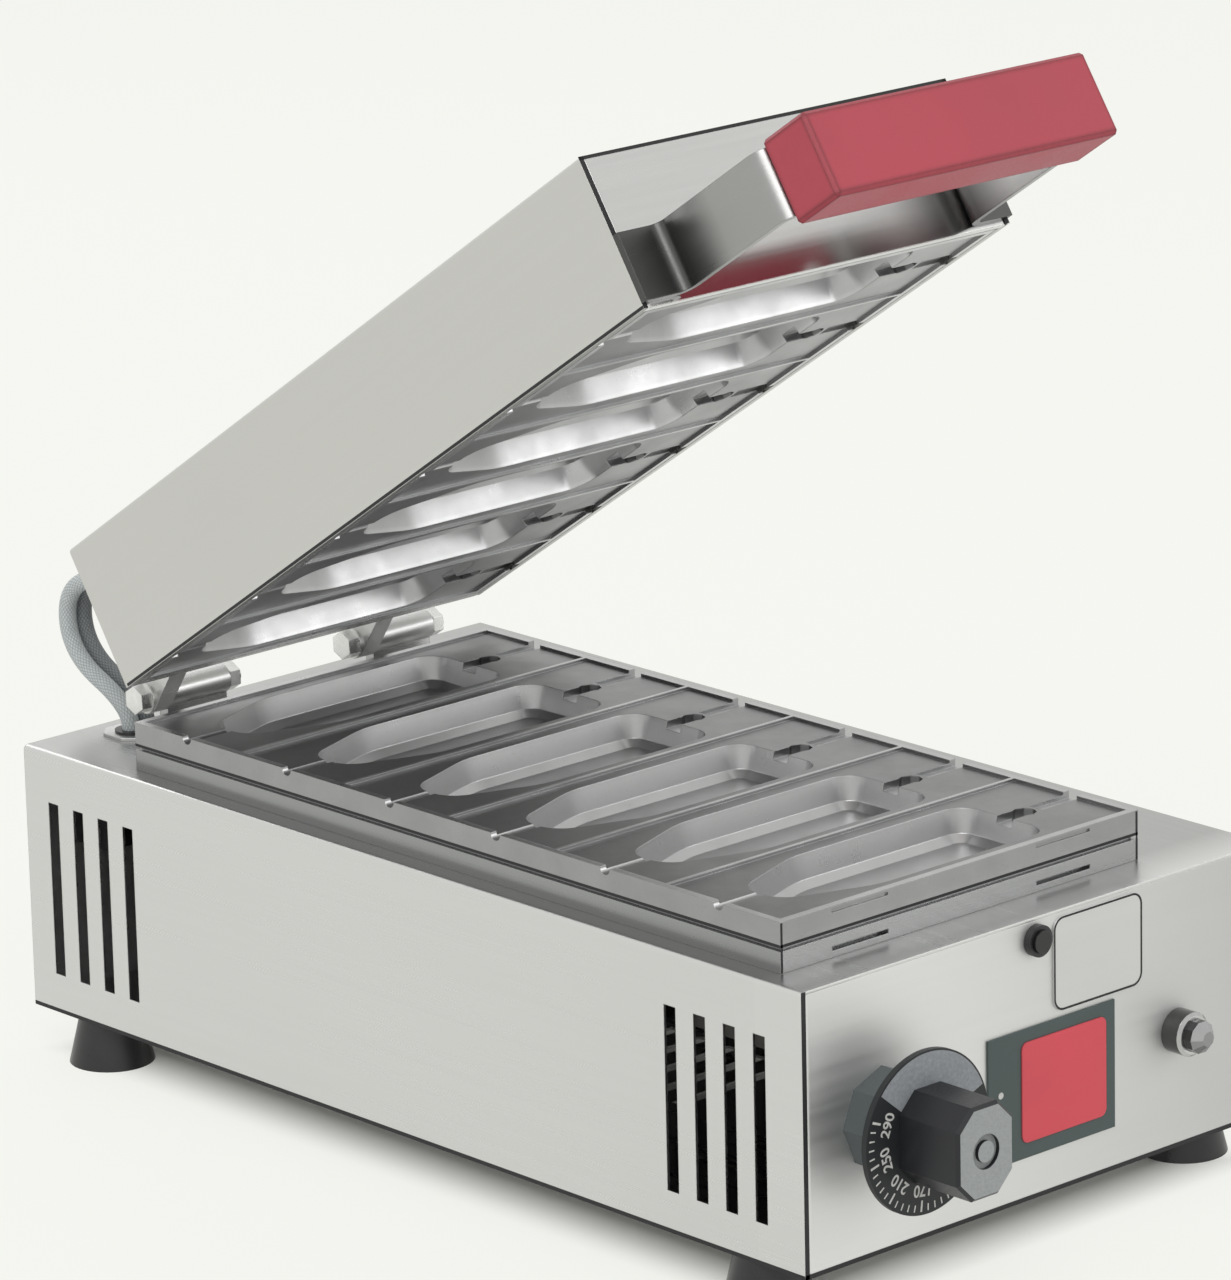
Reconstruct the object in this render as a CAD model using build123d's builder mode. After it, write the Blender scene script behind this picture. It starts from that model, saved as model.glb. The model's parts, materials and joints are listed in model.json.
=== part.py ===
from build123d import *
import math
import os

# Countertop crepe maker with six cavities.
# Millimetres, +Z up, origin on the floor under the middle of the housing.
# The front panel faces -Y and the lid hinges on an axis along X near the rear.
# At rest the lid stands open by the angle given below.

os.makedirs("parts", exist_ok=True)


def save(builder, name):
    """Label a finished piece and write its STEP file."""
    builder.part.label = name
    export_step(builder.part, f"parts/{name}.step")


# Shared values
sheet = 1.2                 # steel sheet of the housing and the lid
seat_gap = 0.3              # between pieces that are only placed side by side
running_gap = 0.05          # radial, between a shaft and its hole
bore_gap = 0.3              # radial, between a stud or a lamp and the hole it passes
overrun = 4                 # how far a cut runs past what it cuts

# Housing
housing_length = 440
housing_width = 242
housing_height = 107.5
foot_height = 18.5
bend_radius = 2.0
floor_flange = 24           # inward flange under the long sides
flange_setback = 14         # the flange stops this far from the ends
pan_depth = 12              # flange depth of the front and rear panels

deck = foot_height + housing_height
front_y = -housing_length / 2
rear_y = housing_length / 2
floor_top = foot_height + sheet
inside_width = housing_width - 2 * sheet

# Vent slots in both long sides. Heights are shares of the housing's height.
vent_width = 6.2
vent_height_share = 0.659
vent_middle_share = 0.478
vent_pitch = 15.4
vent_count = 4
front_vent_inset = 45       # from the front end to the middle of the group
rear_vent_inset = 40.4

# Moulds: they fill the deck but for these margins
mould_left_margin = 9.3
mould_right_margin = 49.7
mould_front_margin = 19.8
mould_rear_margin = 59.2
frame_height = 9.9
frame_wall = 5
frame_rebate_height = 1.6   # the shadow line under the lower mould's rim
frame_rebate_depth = 1.8
flange_height = 9.5         # the lower mould's visible rim
casting_depth = 14          # the lower casting below that rim
casting_inset = 6           # from the rim's edge to the casting below it
opening_clearance = 1.5     # between the casting and the deck's opening

mould_width = housing_width - mould_left_margin - mould_right_margin
mould_length = housing_length - mould_front_margin - mould_rear_margin
mould_x = (mould_left_margin - mould_right_margin) / 2
mould_y = (mould_front_margin - mould_rear_margin) / 2
mould_left = mould_x - mould_width / 2
mould_top = deck + frame_height + flange_height
mould_under = mould_top - flange_height - casting_depth

# Cavities, the same in both moulds. Lengths along a cavity are shares of the mould's
# width, and the rest of its outline follows its own width.
cavity_count = 6
mould_end_margin = 2
cavity_width_share = 0.773  # of the pitch
cavity_left_share = 0.113   # from the mould's left edge to the rounded tip
cavity_length_share = 0.683
nose_length_share = 0.8     # the narrowing part at the tip
nose_width_share = 0.42     # the tip's flat end
nose_radius_share = 0.26
shoulder_radius_share = 0.85
corner_radius_share = 0.2   # at the square end
wall_height = 9.2
wall_draft = 14             # degrees
floor_edge_height = 2.8     # slope between wall and floor
floor_edge_draft = 48       # degrees
field_depth = 1.3
field_rim = 3
rib_width = 1.5
tip_groove_radius = 2.6
channel_width = 8
channel_depth = 4.5
channel_length = 10
pocket_radius = 4.8
pocket_sides = 8
pocket_depth = 4
slot_width = 7
slot_depth = 3
slot_gap = 6                # from the pocket's middle to the slot

cavity_pitch = (mould_length - 2 * mould_end_margin) / cavity_count
cavity_width = cavity_width_share * cavity_pitch

# Marks in the mould frame's front and in the rim above it
frame_slot_length = 28
frame_slot_height = 1.6
frame_slot_depth = 3
frame_slot_spacing_share = 0.568
frame_slot_lift = 2.6
rim_slot_depth = 0.8
rim_slot_height = 1.2
rim_slot_drop = 1.9

# Lid
lid_open_angle = 33.4       # degrees from closed, as it stands at rest
closing_gap = 0.4           # from the hinge axis to the lid's lower edge
lid_height = 59.5
lid_lip = 2                 # inward lip along the lid's lower edge
lid_pan_depth = 9
hinge_offset = 22.9         # from the mould's rear edge back to the hinge axis
lid_mould_thickness = 23.5

hinge_y = mould_y + mould_length / 2 + hinge_offset
hinge_z = mould_top
lid_front = -(hinge_offset + mould_length)
lid_rear = -hinge_offset
lid_middle = (lid_front + lid_rear) / 2
lid_top = closing_gap + lid_height
lid_inside_top = lid_top - sheet
lid_mould_back = closing_gap + lid_mould_thickness

lid_sin = math.sin(math.radians(lid_open_angle))
lid_cos = math.cos(math.radians(lid_open_angle))

# The lid's own plane: origin on the hinge axis, x across, y towards the rear
# and z out of its top. The lid is drawn in it as if closed.
lid = Plane(
    origin=(0, hinge_y, hinge_z),
    x_dir=(1, 0, 0),
    z_dir=(0, lid_sin, lid_cos),
)


def lid_point(x, y, z):
    """A point given in the lid's own coordinates."""
    return lid.from_local_coords(Vector(x, y, z))


def lid_side(x):
    """Plane across the lid at x: its own x runs to the rear and its y out of the top."""
    return Plane(origin=lid_point(x, 0, 0), x_dir=lid.y_dir, z_dir=lid.x_dir)


def lid_wall(y, facing):
    """Plane of a lid wall, centred on the mould. facing is -1 to the front and 1 to the rear."""
    return Plane(
        origin=lid_point(mould_x, y, 0), x_dir=lid.x_dir * -facing, z_dir=lid.y_dir * facing
    )


def housing_wall(y, facing):
    """Upright plane across the housing, facing the front (-1) or the rear (1)."""
    return Plane(origin=(0, y, 0), x_dir=(-facing, 0, 0), z_dir=(0, facing, 0))


lower_face = Plane(origin=(mould_x, mould_y, mould_top), x_dir=(1, 0, 0), z_dir=(0, 0, 1))
lower_back = Plane(origin=(mould_x, mould_y, mould_under), x_dir=(1, 0, 0), z_dir=(0, 0, -1))
upper_face = Plane(
    origin=lid_point(mould_x, lid_middle, closing_gap), x_dir=lid.x_dir, z_dir=lid.z_dir * -1
)
upper_back = Plane(
    origin=lid_point(mould_x, lid_middle, lid_mould_back), x_dir=lid.x_dir, z_dir=lid.z_dir
)

# Behind each mould: element, clamp plate, insulation and studs.
# On both back planes +y runs to the end where the element's tails leave.
element_diameter = 8
element_sides = 12
element_spacing_share = 0.525   # between the hairpin's legs, of the mould's width
element_turn_margin = 30.5  # from the mould's end to the hairpin's closed end
element_tail_margin = 15.5  # from the mould's other end to its tails
element_bend = 14
pin_diameter = 4
pin_length = 7
groove_gap = 0.15
clamp_side_margin = 9.5
clamp_end_margin = 30.5
clamp_thickness = 3
insulation_share = 0.1675   # thickness, of the housing's height
stud_diameter = 6
stud_depth = 10             # how far a stud reaches into the casting
nut_across = 10
nut_height = 5
stud_overhang = 3
nut_pocket = 17

element_drop = element_diameter / 2 + groove_gap
clamp_under = element_drop + clamp_thickness
element_leg = element_spacing_share * mould_width / 2
element_turn = mould_length / 2 - element_turn_margin
element_tail = mould_length / 2 - element_tail_margin
clamp_width = mould_width - 2 * clamp_side_margin
clamp_length = mould_length - 2 * clamp_end_margin
insulation_thickness = insulation_share * housing_height
stud_grid = GridLocations(0, (cavity_count - 2) * cavity_pitch, 1, 2)

# Heat shield: a tray that hangs from the deck's underside round the lower casting
shield_sheet = 1.0
shield_clearance = 3        # outside the deck's opening
shield_flange = 8
wire_hole_width = 14
wire_hole_length = 8
wire_hole_margin = 12       # from the mould's end to the middle of the hole

# Hinges
hinge_spacing_share = 0.5836    # of the mould's width
hinge_side_margin = 18.2    # from the mould's left edge to the left bolt's head
bolt_diameter = 6
bolt_head_height = 5
bolt_head_across = 10
bolt_collar_thickness = 1.0
bolt_collar_diameter = 12.5
hub_diameter = 13
hub_length = 8.5
barrel_diameter = 11.4
barrel_length = 30
hinge_side_gap = 0.3
bolt_overhang = 2
hinge_nut_height = 5
ear_flange_width = 30
ear_flange_height = 21
ear_flange_lift = 2
ear_flange_thickness = 3
ear_web_height = 17
bracket_foot_thickness = 3
bracket_foot_front = 20     # from the hinge axis forwards
bracket_foot_rear = 6
bracket_web_thickness = 5

hinge_left = mould_left + hinge_side_margin
bolt_start = [hinge_left, hinge_left + hinge_spacing_share * mould_width]
hub_start = [x + bolt_head_height + bolt_collar_thickness for x in bolt_start]
barrel_start = [x + hub_length + hinge_side_gap for x in hub_start]
hub_middle = [x + hub_length / 2 for x in hub_start]

# Sleeved leads across the hinge, with their glands and terminal blocks
lead_diameter = 7.4
lead_sides = 12
lead_spacing = 7.9
lead_side_margin = 33.7     # from the mould's left edge to the middle of the pair
lead_rear_margin = 19       # from the housing's rear to the deck gland
lead_lid_drop = 13.9        # below the lid's top
lead_rise = 5.5             # height over the deck where the leads bend to the rear
lead_reach = 37.5           # from the deck gland to the rearmost line of the leads
lead_low_height = 26.2      # over the deck, where that line starts
lead_high_height = 56       # over the deck, where it ends
lead_stub = 9               # straight length out of the lid's rear wall
lead_small_bend = 6
lead_large_bend = 20
grommet_wall = 1.5
grommet_lip = 1.2
grommet_lip_height = 0.8
gland_plate_length = 27
gland_plate_width = 21
gland_plate_corner = 5
gland_plate_thickness = 1.2
block_length = 50
block_height = 20
block_drop = 22             # from the deck to the block's top
block_depth = 27
lid_block_depth = 9.5
block_entry = 8
lid_block_entry = 7

lead_x = mould_left + lead_side_margin
lead_deck_y = rear_y - lead_rear_margin
lead_lid_height = lid_top - lead_lid_drop
block_top = deck - block_drop
grommet_length = lead_spacing + lead_diameter + 2 * grommet_wall
grommet_width = lead_diameter + 2 * grommet_wall
lead_spots = [lead_x - lead_spacing / 2, lead_x + lead_spacing / 2]

# Handle
bracket_strip = 3
bracket_height = 26.5
bracket_lift = 2.4
bracket_reach = 62.5        # from the lid's front to the cross strip
bracket_foot = 21
bracket_bend = 6
grip_setback = 0.5          # from the bracket's side to the grip's end
grip_depth = 25
grip_height = 32.5
grip_drop = 1.5
grip_edge = 1.4

bracket_span = mould_width - 2 * bracket_foot
grip_length = bracket_span - 2 * grip_setback

# Thermostat and dial. Heights on the front panel are shares of the housing's height.
dial_side_margin = 39       # from the housing's left side
dial_height_share = 0.479
dial_diameter = 61
dial_thickness = 2.4
collar_across = 36
collar_depth = 20
collar_edge = 1.2
dial_gap = 0.6
shaft_diameter = 6
shaft_back = 16             # how far the shaft reaches behind the panel
knob_width = 28
knob_height = 35
knob_corner = 7.5
knob_depth = 29
knob_edge = 1.2
knob_ring_outer = 13
knob_ring_inner = 8
knob_ring_depth = 1.6
knob_bore_depth = 18
body_width = 42
body_height = 34
body_depth = 30
bushing_diameter = 11
bushing_length = 12
tab_width = 6
tab_length = 9
tab_thickness = 0.8
tab_spacing = 16

dial_x = dial_side_margin - housing_width / 2
dial_z = foot_height + dial_height_share * housing_height

# Thermostat bulb in the lower casting's underside, and its capillary
bulb_diameter = 6.4
bulb_length = 84
bulb_side_margin = 5.2      # from the clamp plate's side
bulb_end_margin = 50.2      # from the mould's front end to the bulb
capillary_diameter = 2.4
capillary_bend = 5
capillary_inset = 5         # from the back of the thermostat's body
capillary_hole_radius = 3

bulb_x = bulb_side_margin - clamp_width / 2
bulb_front = mould_length / 2 - bulb_end_margin

# Lamps
pilot_side_margin = 50      # from the housing's right side
pilot_height_share = 0.428
pilot_bezel_diameter = 17
pilot_bezel_depth = 9
pilot_bezel_edge = 1.2
pilot_lens_diameter = 12.6
pilot_lens_seat = 5
pilot_dome_depth = 7
pilot_dome_edge = 3.2
pilot_facets = 10
pilot_body_diameter = 11
pilot_body_depth = 26
small_lamp_x = -3.5
small_lamp_height_share = 0.921
small_lamp_diameter = 12
small_lamp_depth = 3
small_lens_diameter = 8.6
small_lens_proud = 1.4
small_body_diameter = 7
small_body_depth = 16

pilot_x = housing_width / 2 - pilot_side_margin
pilot_z = foot_height + pilot_height_share * housing_height
small_lamp_z = foot_height + small_lamp_height_share * housing_height

# Plates on the front panel
name_x = 4
name_height_share = 0.389
name_width = 66
name_tall_share = 0.46
name_thickness = 0.8
tile_x = 10
tile_height_share = 0.3935
tile_width = 44
tile_tall_share = 0.358
tile_corner = 3
tile_thickness = 0.5
rating_x = 28.5
rating_height_share = 0.809
rating_width = 46.5
rating_tall_share = 0.335
rating_corner = 5
rating_thickness = 0.8

# Feet
foot_radius = 17
foot_top_radius = 12.5
foot_side_inset = 12.5
foot_end_inset = 32

foot_x = housing_width / 2 - foot_side_inset
foot_y = housing_length / 2 - foot_end_inset
foot_grid = GridLocations(2 * foot_x, 2 * foot_y, 2, 2)

# Mains inlet gland in the rear panel
inlet_side_margin = 51      # from the housing's right side, seen from the front
inlet_height = 38
inlet_across = 22
inlet_flange_depth = 5
inlet_nose_diameter = 17
inlet_nose_depth = 13
inlet_nose_edge = 2.5
inlet_nose_sides = 12
inlet_thread_diameter = 16
inlet_bore = 8
inlet_thread_depth = 9
inlet_nut_depth = 5

inlet_x = housing_width / 2 - inlet_side_margin

# Bottom plate
plate_lap = 7               # how far it lies on the long sides' flanges
floor_slot_length = 60
floor_slot_width = 6
floor_slot_pitch = 16
floor_slot_count = 8

# Housing wrapper: deck and long sides folded from one sheet
housing_middle = foot_height + housing_height / 2
opening_width = mould_width - 2 * casting_inset + 2 * opening_clearance
opening_length = mould_length - 2 * casting_inset + 2 * opening_clearance
vent_z = foot_height + vent_middle_share * housing_height
vent_height = vent_height_share * housing_height

with BuildPart() as housing_wrapper:
    with BuildSketch(Plane.XZ):
        with Locations((0, housing_middle)):
            Rectangle(housing_width, housing_height)
        fillet(vertices().group_by(Axis.Y)[-1], bend_radius)
        with Locations((0, housing_middle)):
            Rectangle(inside_width, housing_height - 2 * sheet, mode=Mode.SUBTRACT)
        with Locations((0, foot_height)):
            Rectangle(inside_width - 2 * floor_flange, overrun, mode=Mode.SUBTRACT)
    extrude(amount=housing_length / 2, both=True)
    with BuildSketch(Plane.XY.offset(deck)):
        with Locations((mould_x, mould_y)):
            Rectangle(opening_width, opening_length)
        with Locations((lead_x, lead_deck_y)):
            SlotOverall(grommet_length + 2 * running_gap, grommet_width + 2 * running_gap)
    extrude(amount=-(sheet + overrun), mode=Mode.SUBTRACT)
    with BuildSketch(Plane.YZ):
        with Locations((front_y + front_vent_inset, vent_z), (rear_y - rear_vent_inset, vent_z)):
            with GridLocations(vent_pitch, 0, vent_count, 1):
                Rectangle(vent_width, vent_height)
    extrude(amount=housing_width / 2 + overrun, both=True, mode=Mode.SUBTRACT)
    with BuildSketch(Plane.XY.offset(foot_height)):
        with GridLocations(0, housing_length - flange_setback, 1, 2):
            Rectangle(inside_width, flange_setback)
    extrude(amount=sheet, mode=Mode.SUBTRACT)
save(housing_wrapper, "housing_wrapper")

# Front and rear panels: pans whose flanges are folded inwards all round.
# Each hole is given as a place on the panel, seen from outside, and a radius.
pan_width = inside_width - 2 * seat_gap
pan_height = housing_height - sheet
pan_middle = foot_height + pan_height / 2
inlet_z = foot_height + inlet_height

panels = {
    "front_panel": (
        housing_wall(front_y, -1),
        [
            (dial_x, dial_z, bushing_diameter / 2 + bore_gap),
            (pilot_x, pilot_z, pilot_body_diameter / 2 + bore_gap),
            (small_lamp_x, small_lamp_z, small_body_diameter / 2 + bore_gap),
        ],
    ),
    "rear_panel": (
        housing_wall(rear_y, 1),
        [(-inlet_x, inlet_z, inlet_thread_diameter / 2 + bore_gap)],
    ),
}

for panel_name, (panel_plane, holes) in panels.items():
    outward = Axis((0, 0, 0), panel_plane.z_dir)
    with BuildPart() as panel:
        with BuildSketch(panel_plane):
            with Locations((0, pan_middle)):
                Rectangle(pan_width, pan_height)
        extrude(amount=-pan_depth)
        fillet(panel.edges().filter_by(Axis.Z).group_by(outward)[-1], bend_radius)
        with BuildSketch(panel_plane.offset(-sheet)):
            with Locations((0, pan_middle)):
                Rectangle(pan_width - 2 * sheet, pan_height - 2 * sheet)
        extrude(amount=-pan_depth, mode=Mode.SUBTRACT)
        with BuildSketch(panel_plane):
            for hole_x, hole_z, hole_radius in holes:
                with Locations((hole_x, hole_z)):
                    Circle(hole_radius)
        extrude(amount=-(sheet + overrun), mode=Mode.SUBTRACT)
    save(panel, panel_name)

# Bottom plate: lies on the flanges, slotted for air
plate_width = inside_width - 2 * (floor_flange - plate_lap)

with BuildPart() as bottom_plate:
    with BuildSketch(Plane.XY.offset(floor_top)):
        Rectangle(plate_width, housing_length - 2 * (sheet + seat_gap))
        with GridLocations(0, floor_slot_pitch, 1, floor_slot_count):
            Rectangle(floor_slot_length, floor_slot_width, mode=Mode.SUBTRACT)
    extrude(amount=sheet)
save(bottom_plate, "bottom_plate")

# Feet: flared rubber under the flanges
with BuildPart() as feet:
    with foot_grid:
        Cone(
            foot_radius,
            foot_top_radius,
            foot_height,
            align=(Align.CENTER, Align.CENTER, Align.MIN),
        )
save(feet, "feet")

# Mould frame: the collar between the deck and the lower mould, stepped in under the rim
mould_front_plane = housing_wall(mould_y - mould_length / 2, -1)
frame_slot_spacing = frame_slot_spacing_share * mould_width
rebate_width = mould_width - 2 * frame_rebate_depth
rebate_length = mould_length - 2 * frame_rebate_depth

with BuildPart() as mould_frame:
    with BuildSketch(Plane.XY.offset(deck)):
        with Locations((mould_x, mould_y)):
            Rectangle(mould_width, mould_length)
    extrude(amount=frame_height - frame_rebate_height)
    with BuildSketch(Plane.XY.offset(deck)):
        with Locations((mould_x, mould_y)):
            Rectangle(rebate_width, rebate_length)
    extrude(amount=frame_height)
    with BuildSketch(Plane.XY.offset(deck)):
        with Locations((mould_x, mould_y)):
            Rectangle(mould_width - 2 * frame_wall, mould_length - 2 * frame_wall)
    extrude(amount=frame_height, mode=Mode.SUBTRACT)
    with BuildSketch(mould_front_plane):
        with Locations((mould_x, deck + frame_slot_lift + frame_slot_height / 2)):
            with GridLocations(frame_slot_spacing, 0, 2, 1):
                Rectangle(frame_slot_length, frame_slot_height)
    extrude(amount=-frame_slot_depth, mode=Mode.SUBTRACT)
save(mould_frame, "mould_frame")

# What is cut out of a mould's face for one cavity, drawn round the middle of its row.
# Zero height is the mould's face. The cavity itself is two steps, the drafted wall and
# the slope to the floor, and the second outline is the first one narrowed.
cavity_tip = -mould_width / 2 + cavity_left_share * mould_width
cavity_end = cavity_tip + cavity_length_share * mould_width
shoulder_x = cavity_tip + nose_length_share * cavity_width
half_width = cavity_width / 2
half_tip = nose_width_share * half_width
pocket_x = cavity_end + channel_length
slot_x = pocket_x + slot_gap
mould_edge = mould_width / 2 + overrun
cavity_radii = [
    share * cavity_width
    for share in (
        corner_radius_share,
        corner_radius_share,
        shoulder_radius_share,
        nose_radius_share,
        nose_radius_share,
        shoulder_radius_share,
    )
]

with BuildPart() as cavity_cut:
    step_top = field_depth
    step_inset = 0
    for height, draft in ((wall_height, wall_draft), (floor_edge_height, floor_edge_draft)):
        with BuildSketch(Plane(origin=(0, 0, -step_top), x_dir=(1, 0, 0), z_dir=(0, 0, -1))):
            with BuildLine():
                FilletPolyline(
                    (cavity_end, -half_width),
                    (cavity_end, half_width),
                    (shoulder_x, half_width),
                    (cavity_tip, half_tip),
                    (cavity_tip, -half_tip),
                    (shoulder_x, -half_width),
                    radius=cavity_radii,
                    close=True,
                )
            make_face()
            offset(amount=-step_inset)
        extrude(amount=height, taper=draft)
        step_top += height
        step_inset += height * math.tan(math.radians(draft))
    with BuildSketch(Plane.YZ.offset(cavity_tip + half_tip)):
        Circle(tip_groove_radius)
    extrude(amount=-(cavity_tip + half_tip + mould_edge))
    with BuildSketch(Plane.YZ.offset(cavity_end - channel_width)):
        with Locations((0, -channel_depth / 2)):
            Rectangle(channel_width, channel_depth)
    extrude(amount=pocket_x - cavity_end + channel_width)
    with BuildSketch(Plane.XY):
        with Locations((pocket_x, 0)):
            RegularPolygon(pocket_radius, pocket_sides)
    extrude(amount=-(field_depth + pocket_depth))
    with BuildSketch(Plane.YZ.offset(slot_x)):
        with Locations((0, -slot_depth / 2)):
            Rectangle(slot_width, slot_depth)
    extrude(amount=mould_edge - slot_x)

# Moulds: each casting is a stack of slabs from its face to its back, given as
# width, length and thickness. Then come its fields, cavities and the cuts in its back.
lip_reach = lid_lip + seat_gap
upper_width = mould_width - 2 * (sheet + seat_gap)
upper_length = mould_length - 2 * (sheet + seat_gap)
lower_inset = 2 * casting_inset

castings = {
    "lower_mould": (
        lower_face,
        lower_back,
        [
            (mould_width, mould_length, flange_height),
            (mould_width - lower_inset, mould_length - lower_inset, casting_depth),
        ],
    ),
    "upper_mould": (
        upper_face,
        upper_back,
        [
            (upper_width - 2 * lip_reach, upper_length - 2 * lip_reach, sheet),
            (upper_width, upper_length, lid_mould_thickness - sheet),
        ],
    ),
}

for mould_name, (face, back, slabs) in castings.items():
    slab_start = 0
    face_width, face_length, _ = slabs[0]
    with BuildPart() as mould:
        for slab_width, slab_length, slab_thickness in slabs:
            with BuildSketch(face.offset(-slab_start)):
                Rectangle(slab_width, slab_length)
            extrude(amount=-slab_thickness)
            slab_start += slab_thickness
        with BuildSketch(face):
            Rectangle(face_width - 2 * field_rim, face_length - 2 * field_rim)
            with GridLocations(0, cavity_pitch, 1, cavity_count - 1):
                Rectangle(mould_width, rib_width, mode=Mode.SUBTRACT)
        extrude(amount=-field_depth, mode=Mode.SUBTRACT)
        with Locations(face):
            with GridLocations(0, cavity_pitch, 1, cavity_count):
                add(cavity_cut.part, mode=Mode.SUBTRACT)
        with BuildSketch(back):
            with stud_grid:
                Circle(stud_diameter / 2 + running_gap)
        extrude(amount=-stud_depth, mode=Mode.SUBTRACT)
        with BuildSketch(back):
            with BuildLine():
                FilletPolyline(
                    (-element_leg, mould_length / 2),
                    (-element_leg, -element_turn),
                    (element_leg, -element_turn),
                    (element_leg, mould_length / 2),
                    radius=element_bend,
                )
            trace(line_width=element_diameter + 2 * groove_gap)
        extrude(amount=-element_drop, mode=Mode.SUBTRACT)
        if mould_name == "lower_mould":
            bulb_drop = element_drop - bulb_diameter / 2
            with BuildSketch(mould_front_plane.offset(overrun)):
                with Locations((mould_x + bulb_x, mould_under - bulb_drop)):
                    Circle(bulb_diameter / 2 + groove_gap)
            extrude(
                amount=-(mould_length / 2 + overrun - bulb_front + bulb_length),
                mode=Mode.SUBTRACT,
            )
            with BuildSketch(mould_front_plane):
                with Locations((mould_x, mould_top - rim_slot_drop)):
                    with GridLocations(frame_slot_spacing, 0, 2, 1):
                        Rectangle(frame_slot_length, rim_slot_height)
            extrude(amount=-rim_slot_depth, mode=Mode.SUBTRACT)
    save(mould, mould_name)

# Heating elements: tubular hairpins half sunk in the castings' backs, with their
# terminal pins at the open end
for element_name, back in {"lower_element": lower_back, "upper_element": upper_back}.items():
    with BuildPart() as element:
        with BuildLine(back):
            element_path = FilletPolyline(
                (-element_leg, element_tail),
                (-element_leg, -element_turn),
                (element_leg, -element_turn),
                (element_leg, element_tail),
                radius=element_bend,
            )
        with BuildSketch(element_path ^ 0):
            RegularPolygon(element_diameter / 2, element_sides)
        sweep(path=element_path)
        tail_plane = Plane(
            origin=back.from_local_coords(Vector(0, element_tail, 0)),
            x_dir=back.x_dir,
            z_dir=back.y_dir,
        )
        with BuildSketch(tail_plane):
            with GridLocations(2 * element_leg, 0, 2, 1):
                Circle(pin_diameter / 2)
        extrude(amount=pin_length)
    save(element, element_name)

# Clamp plates: press the elements into their grooves
for clamp_name, back in {"lower_clamp_plate": lower_back, "upper_clamp_plate": upper_back}.items():
    with BuildPart() as clamp_plate:
        with BuildSketch(back.offset(element_drop)):
            Rectangle(clamp_width, clamp_length)
            with stud_grid:
                Circle(stud_diameter / 2 + bore_gap, mode=Mode.SUBTRACT)
        extrude(amount=clamp_thickness)
    save(clamp_plate, clamp_name)

# Insulation boards behind the clamp plates, with square holes for the stud nuts
upper_insulation_thickness = lid_inside_top - lid_mould_back - clamp_under
boards = {
    "lower_insulation": (lower_back, insulation_thickness),
    "upper_insulation": (upper_back, upper_insulation_thickness),
}

for board_name, (back, board_thickness) in boards.items():
    with BuildPart() as board:
        with BuildSketch(back.offset(clamp_under)):
            Rectangle(clamp_width, clamp_length)
            with stud_grid:
                Rectangle(nut_pocket, nut_pocket, mode=Mode.SUBTRACT)
        extrude(amount=board_thickness)
    save(board, board_name)

# Heat shield: tray under the lower casting, fixed by its flange to the deck's underside
shield_drop = clamp_under + insulation_thickness
shield_width = opening_width + 2 * shield_clearance
shield_length = opening_length + 2 * shield_clearance
shield_rise = deck - sheet - (mould_under - shield_drop)
capillary_line = front_y + sheet + body_depth - capillary_inset
wire_hole_y = mould_length / 2 - wire_hole_margin

with BuildPart() as heat_shield:
    with BuildSketch(lower_back.offset(shield_drop)):
        Rectangle(shield_width + 2 * shield_sheet, shield_length + 2 * shield_sheet)
    extrude(amount=shield_sheet)
    with BuildSketch(lower_back.offset(shield_drop)):
        Rectangle(shield_width + 2 * shield_sheet, shield_length + 2 * shield_sheet)
    extrude(amount=-shield_rise)
    with BuildSketch(lower_back.offset(shield_drop - shield_rise)):
        Rectangle(shield_width + 2 * shield_flange, shield_length + 2 * shield_flange)
    extrude(amount=shield_sheet)
    with BuildSketch(lower_back.offset(shield_drop)):
        Rectangle(shield_width, shield_length)
    extrude(amount=-shield_rise, mode=Mode.SUBTRACT)
    with BuildSketch(lower_back.offset(shield_drop)):
        with Locations((-element_leg, wire_hole_y), (element_leg, wire_hole_y)):
            Rectangle(wire_hole_width, wire_hole_length)
        with Locations((bulb_x, mould_y - capillary_line)):
            Circle(capillary_hole_radius)
    extrude(amount=shield_sheet, mode=Mode.SUBTRACT)
save(heat_shield, "heat_shield")

# Studs, each with a nut on the clamp plate
for stud_name, back in {"lower_clamp_studs": lower_back, "upper_clamp_studs": upper_back}.items():
    with BuildPart() as studs:
        with BuildSketch(back.offset(-stud_depth)):
            with stud_grid:
                Circle(stud_diameter / 2)
        extrude(amount=stud_depth + clamp_under + nut_height + stud_overhang)
        with BuildSketch(back.offset(clamp_under)):
            with stud_grid:
                RegularPolygon(nut_across / 2, 6, major_radius=False)
        extrude(amount=nut_height)
    save(studs, stud_name)

# Hinge brackets: barrel on a web that rises from a foot screwed to the deck
for bracket_name, start in zip(("hinge_bracket_left", "hinge_bracket_right"), barrel_start):
    with BuildPart() as bracket:
        with BuildSketch(Plane.YZ.offset(start)):
            with Locations((hinge_y, hinge_z)):
                Circle(barrel_diameter / 2)
            with Locations((hinge_y, deck)):
                Rectangle(
                    bracket_web_thickness, hinge_z - deck, align=(Align.CENTER, Align.MIN)
                )
            with Locations((hinge_y + bracket_foot_rear, deck)):
                Rectangle(
                    bracket_foot_front + bracket_foot_rear,
                    bracket_foot_thickness,
                    align=(Align.MAX, Align.MIN),
                )
            with Locations((hinge_y, hinge_z)):
                Circle(bolt_diameter / 2 + running_gap, mode=Mode.SUBTRACT)
        extrude(amount=barrel_length)
    save(bracket, bracket_name)

# Lid ears: hub on a web that runs up to a flange on the lid's rear wall
ear_names = ("lid_ear_left", "lid_ear_right")

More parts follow.
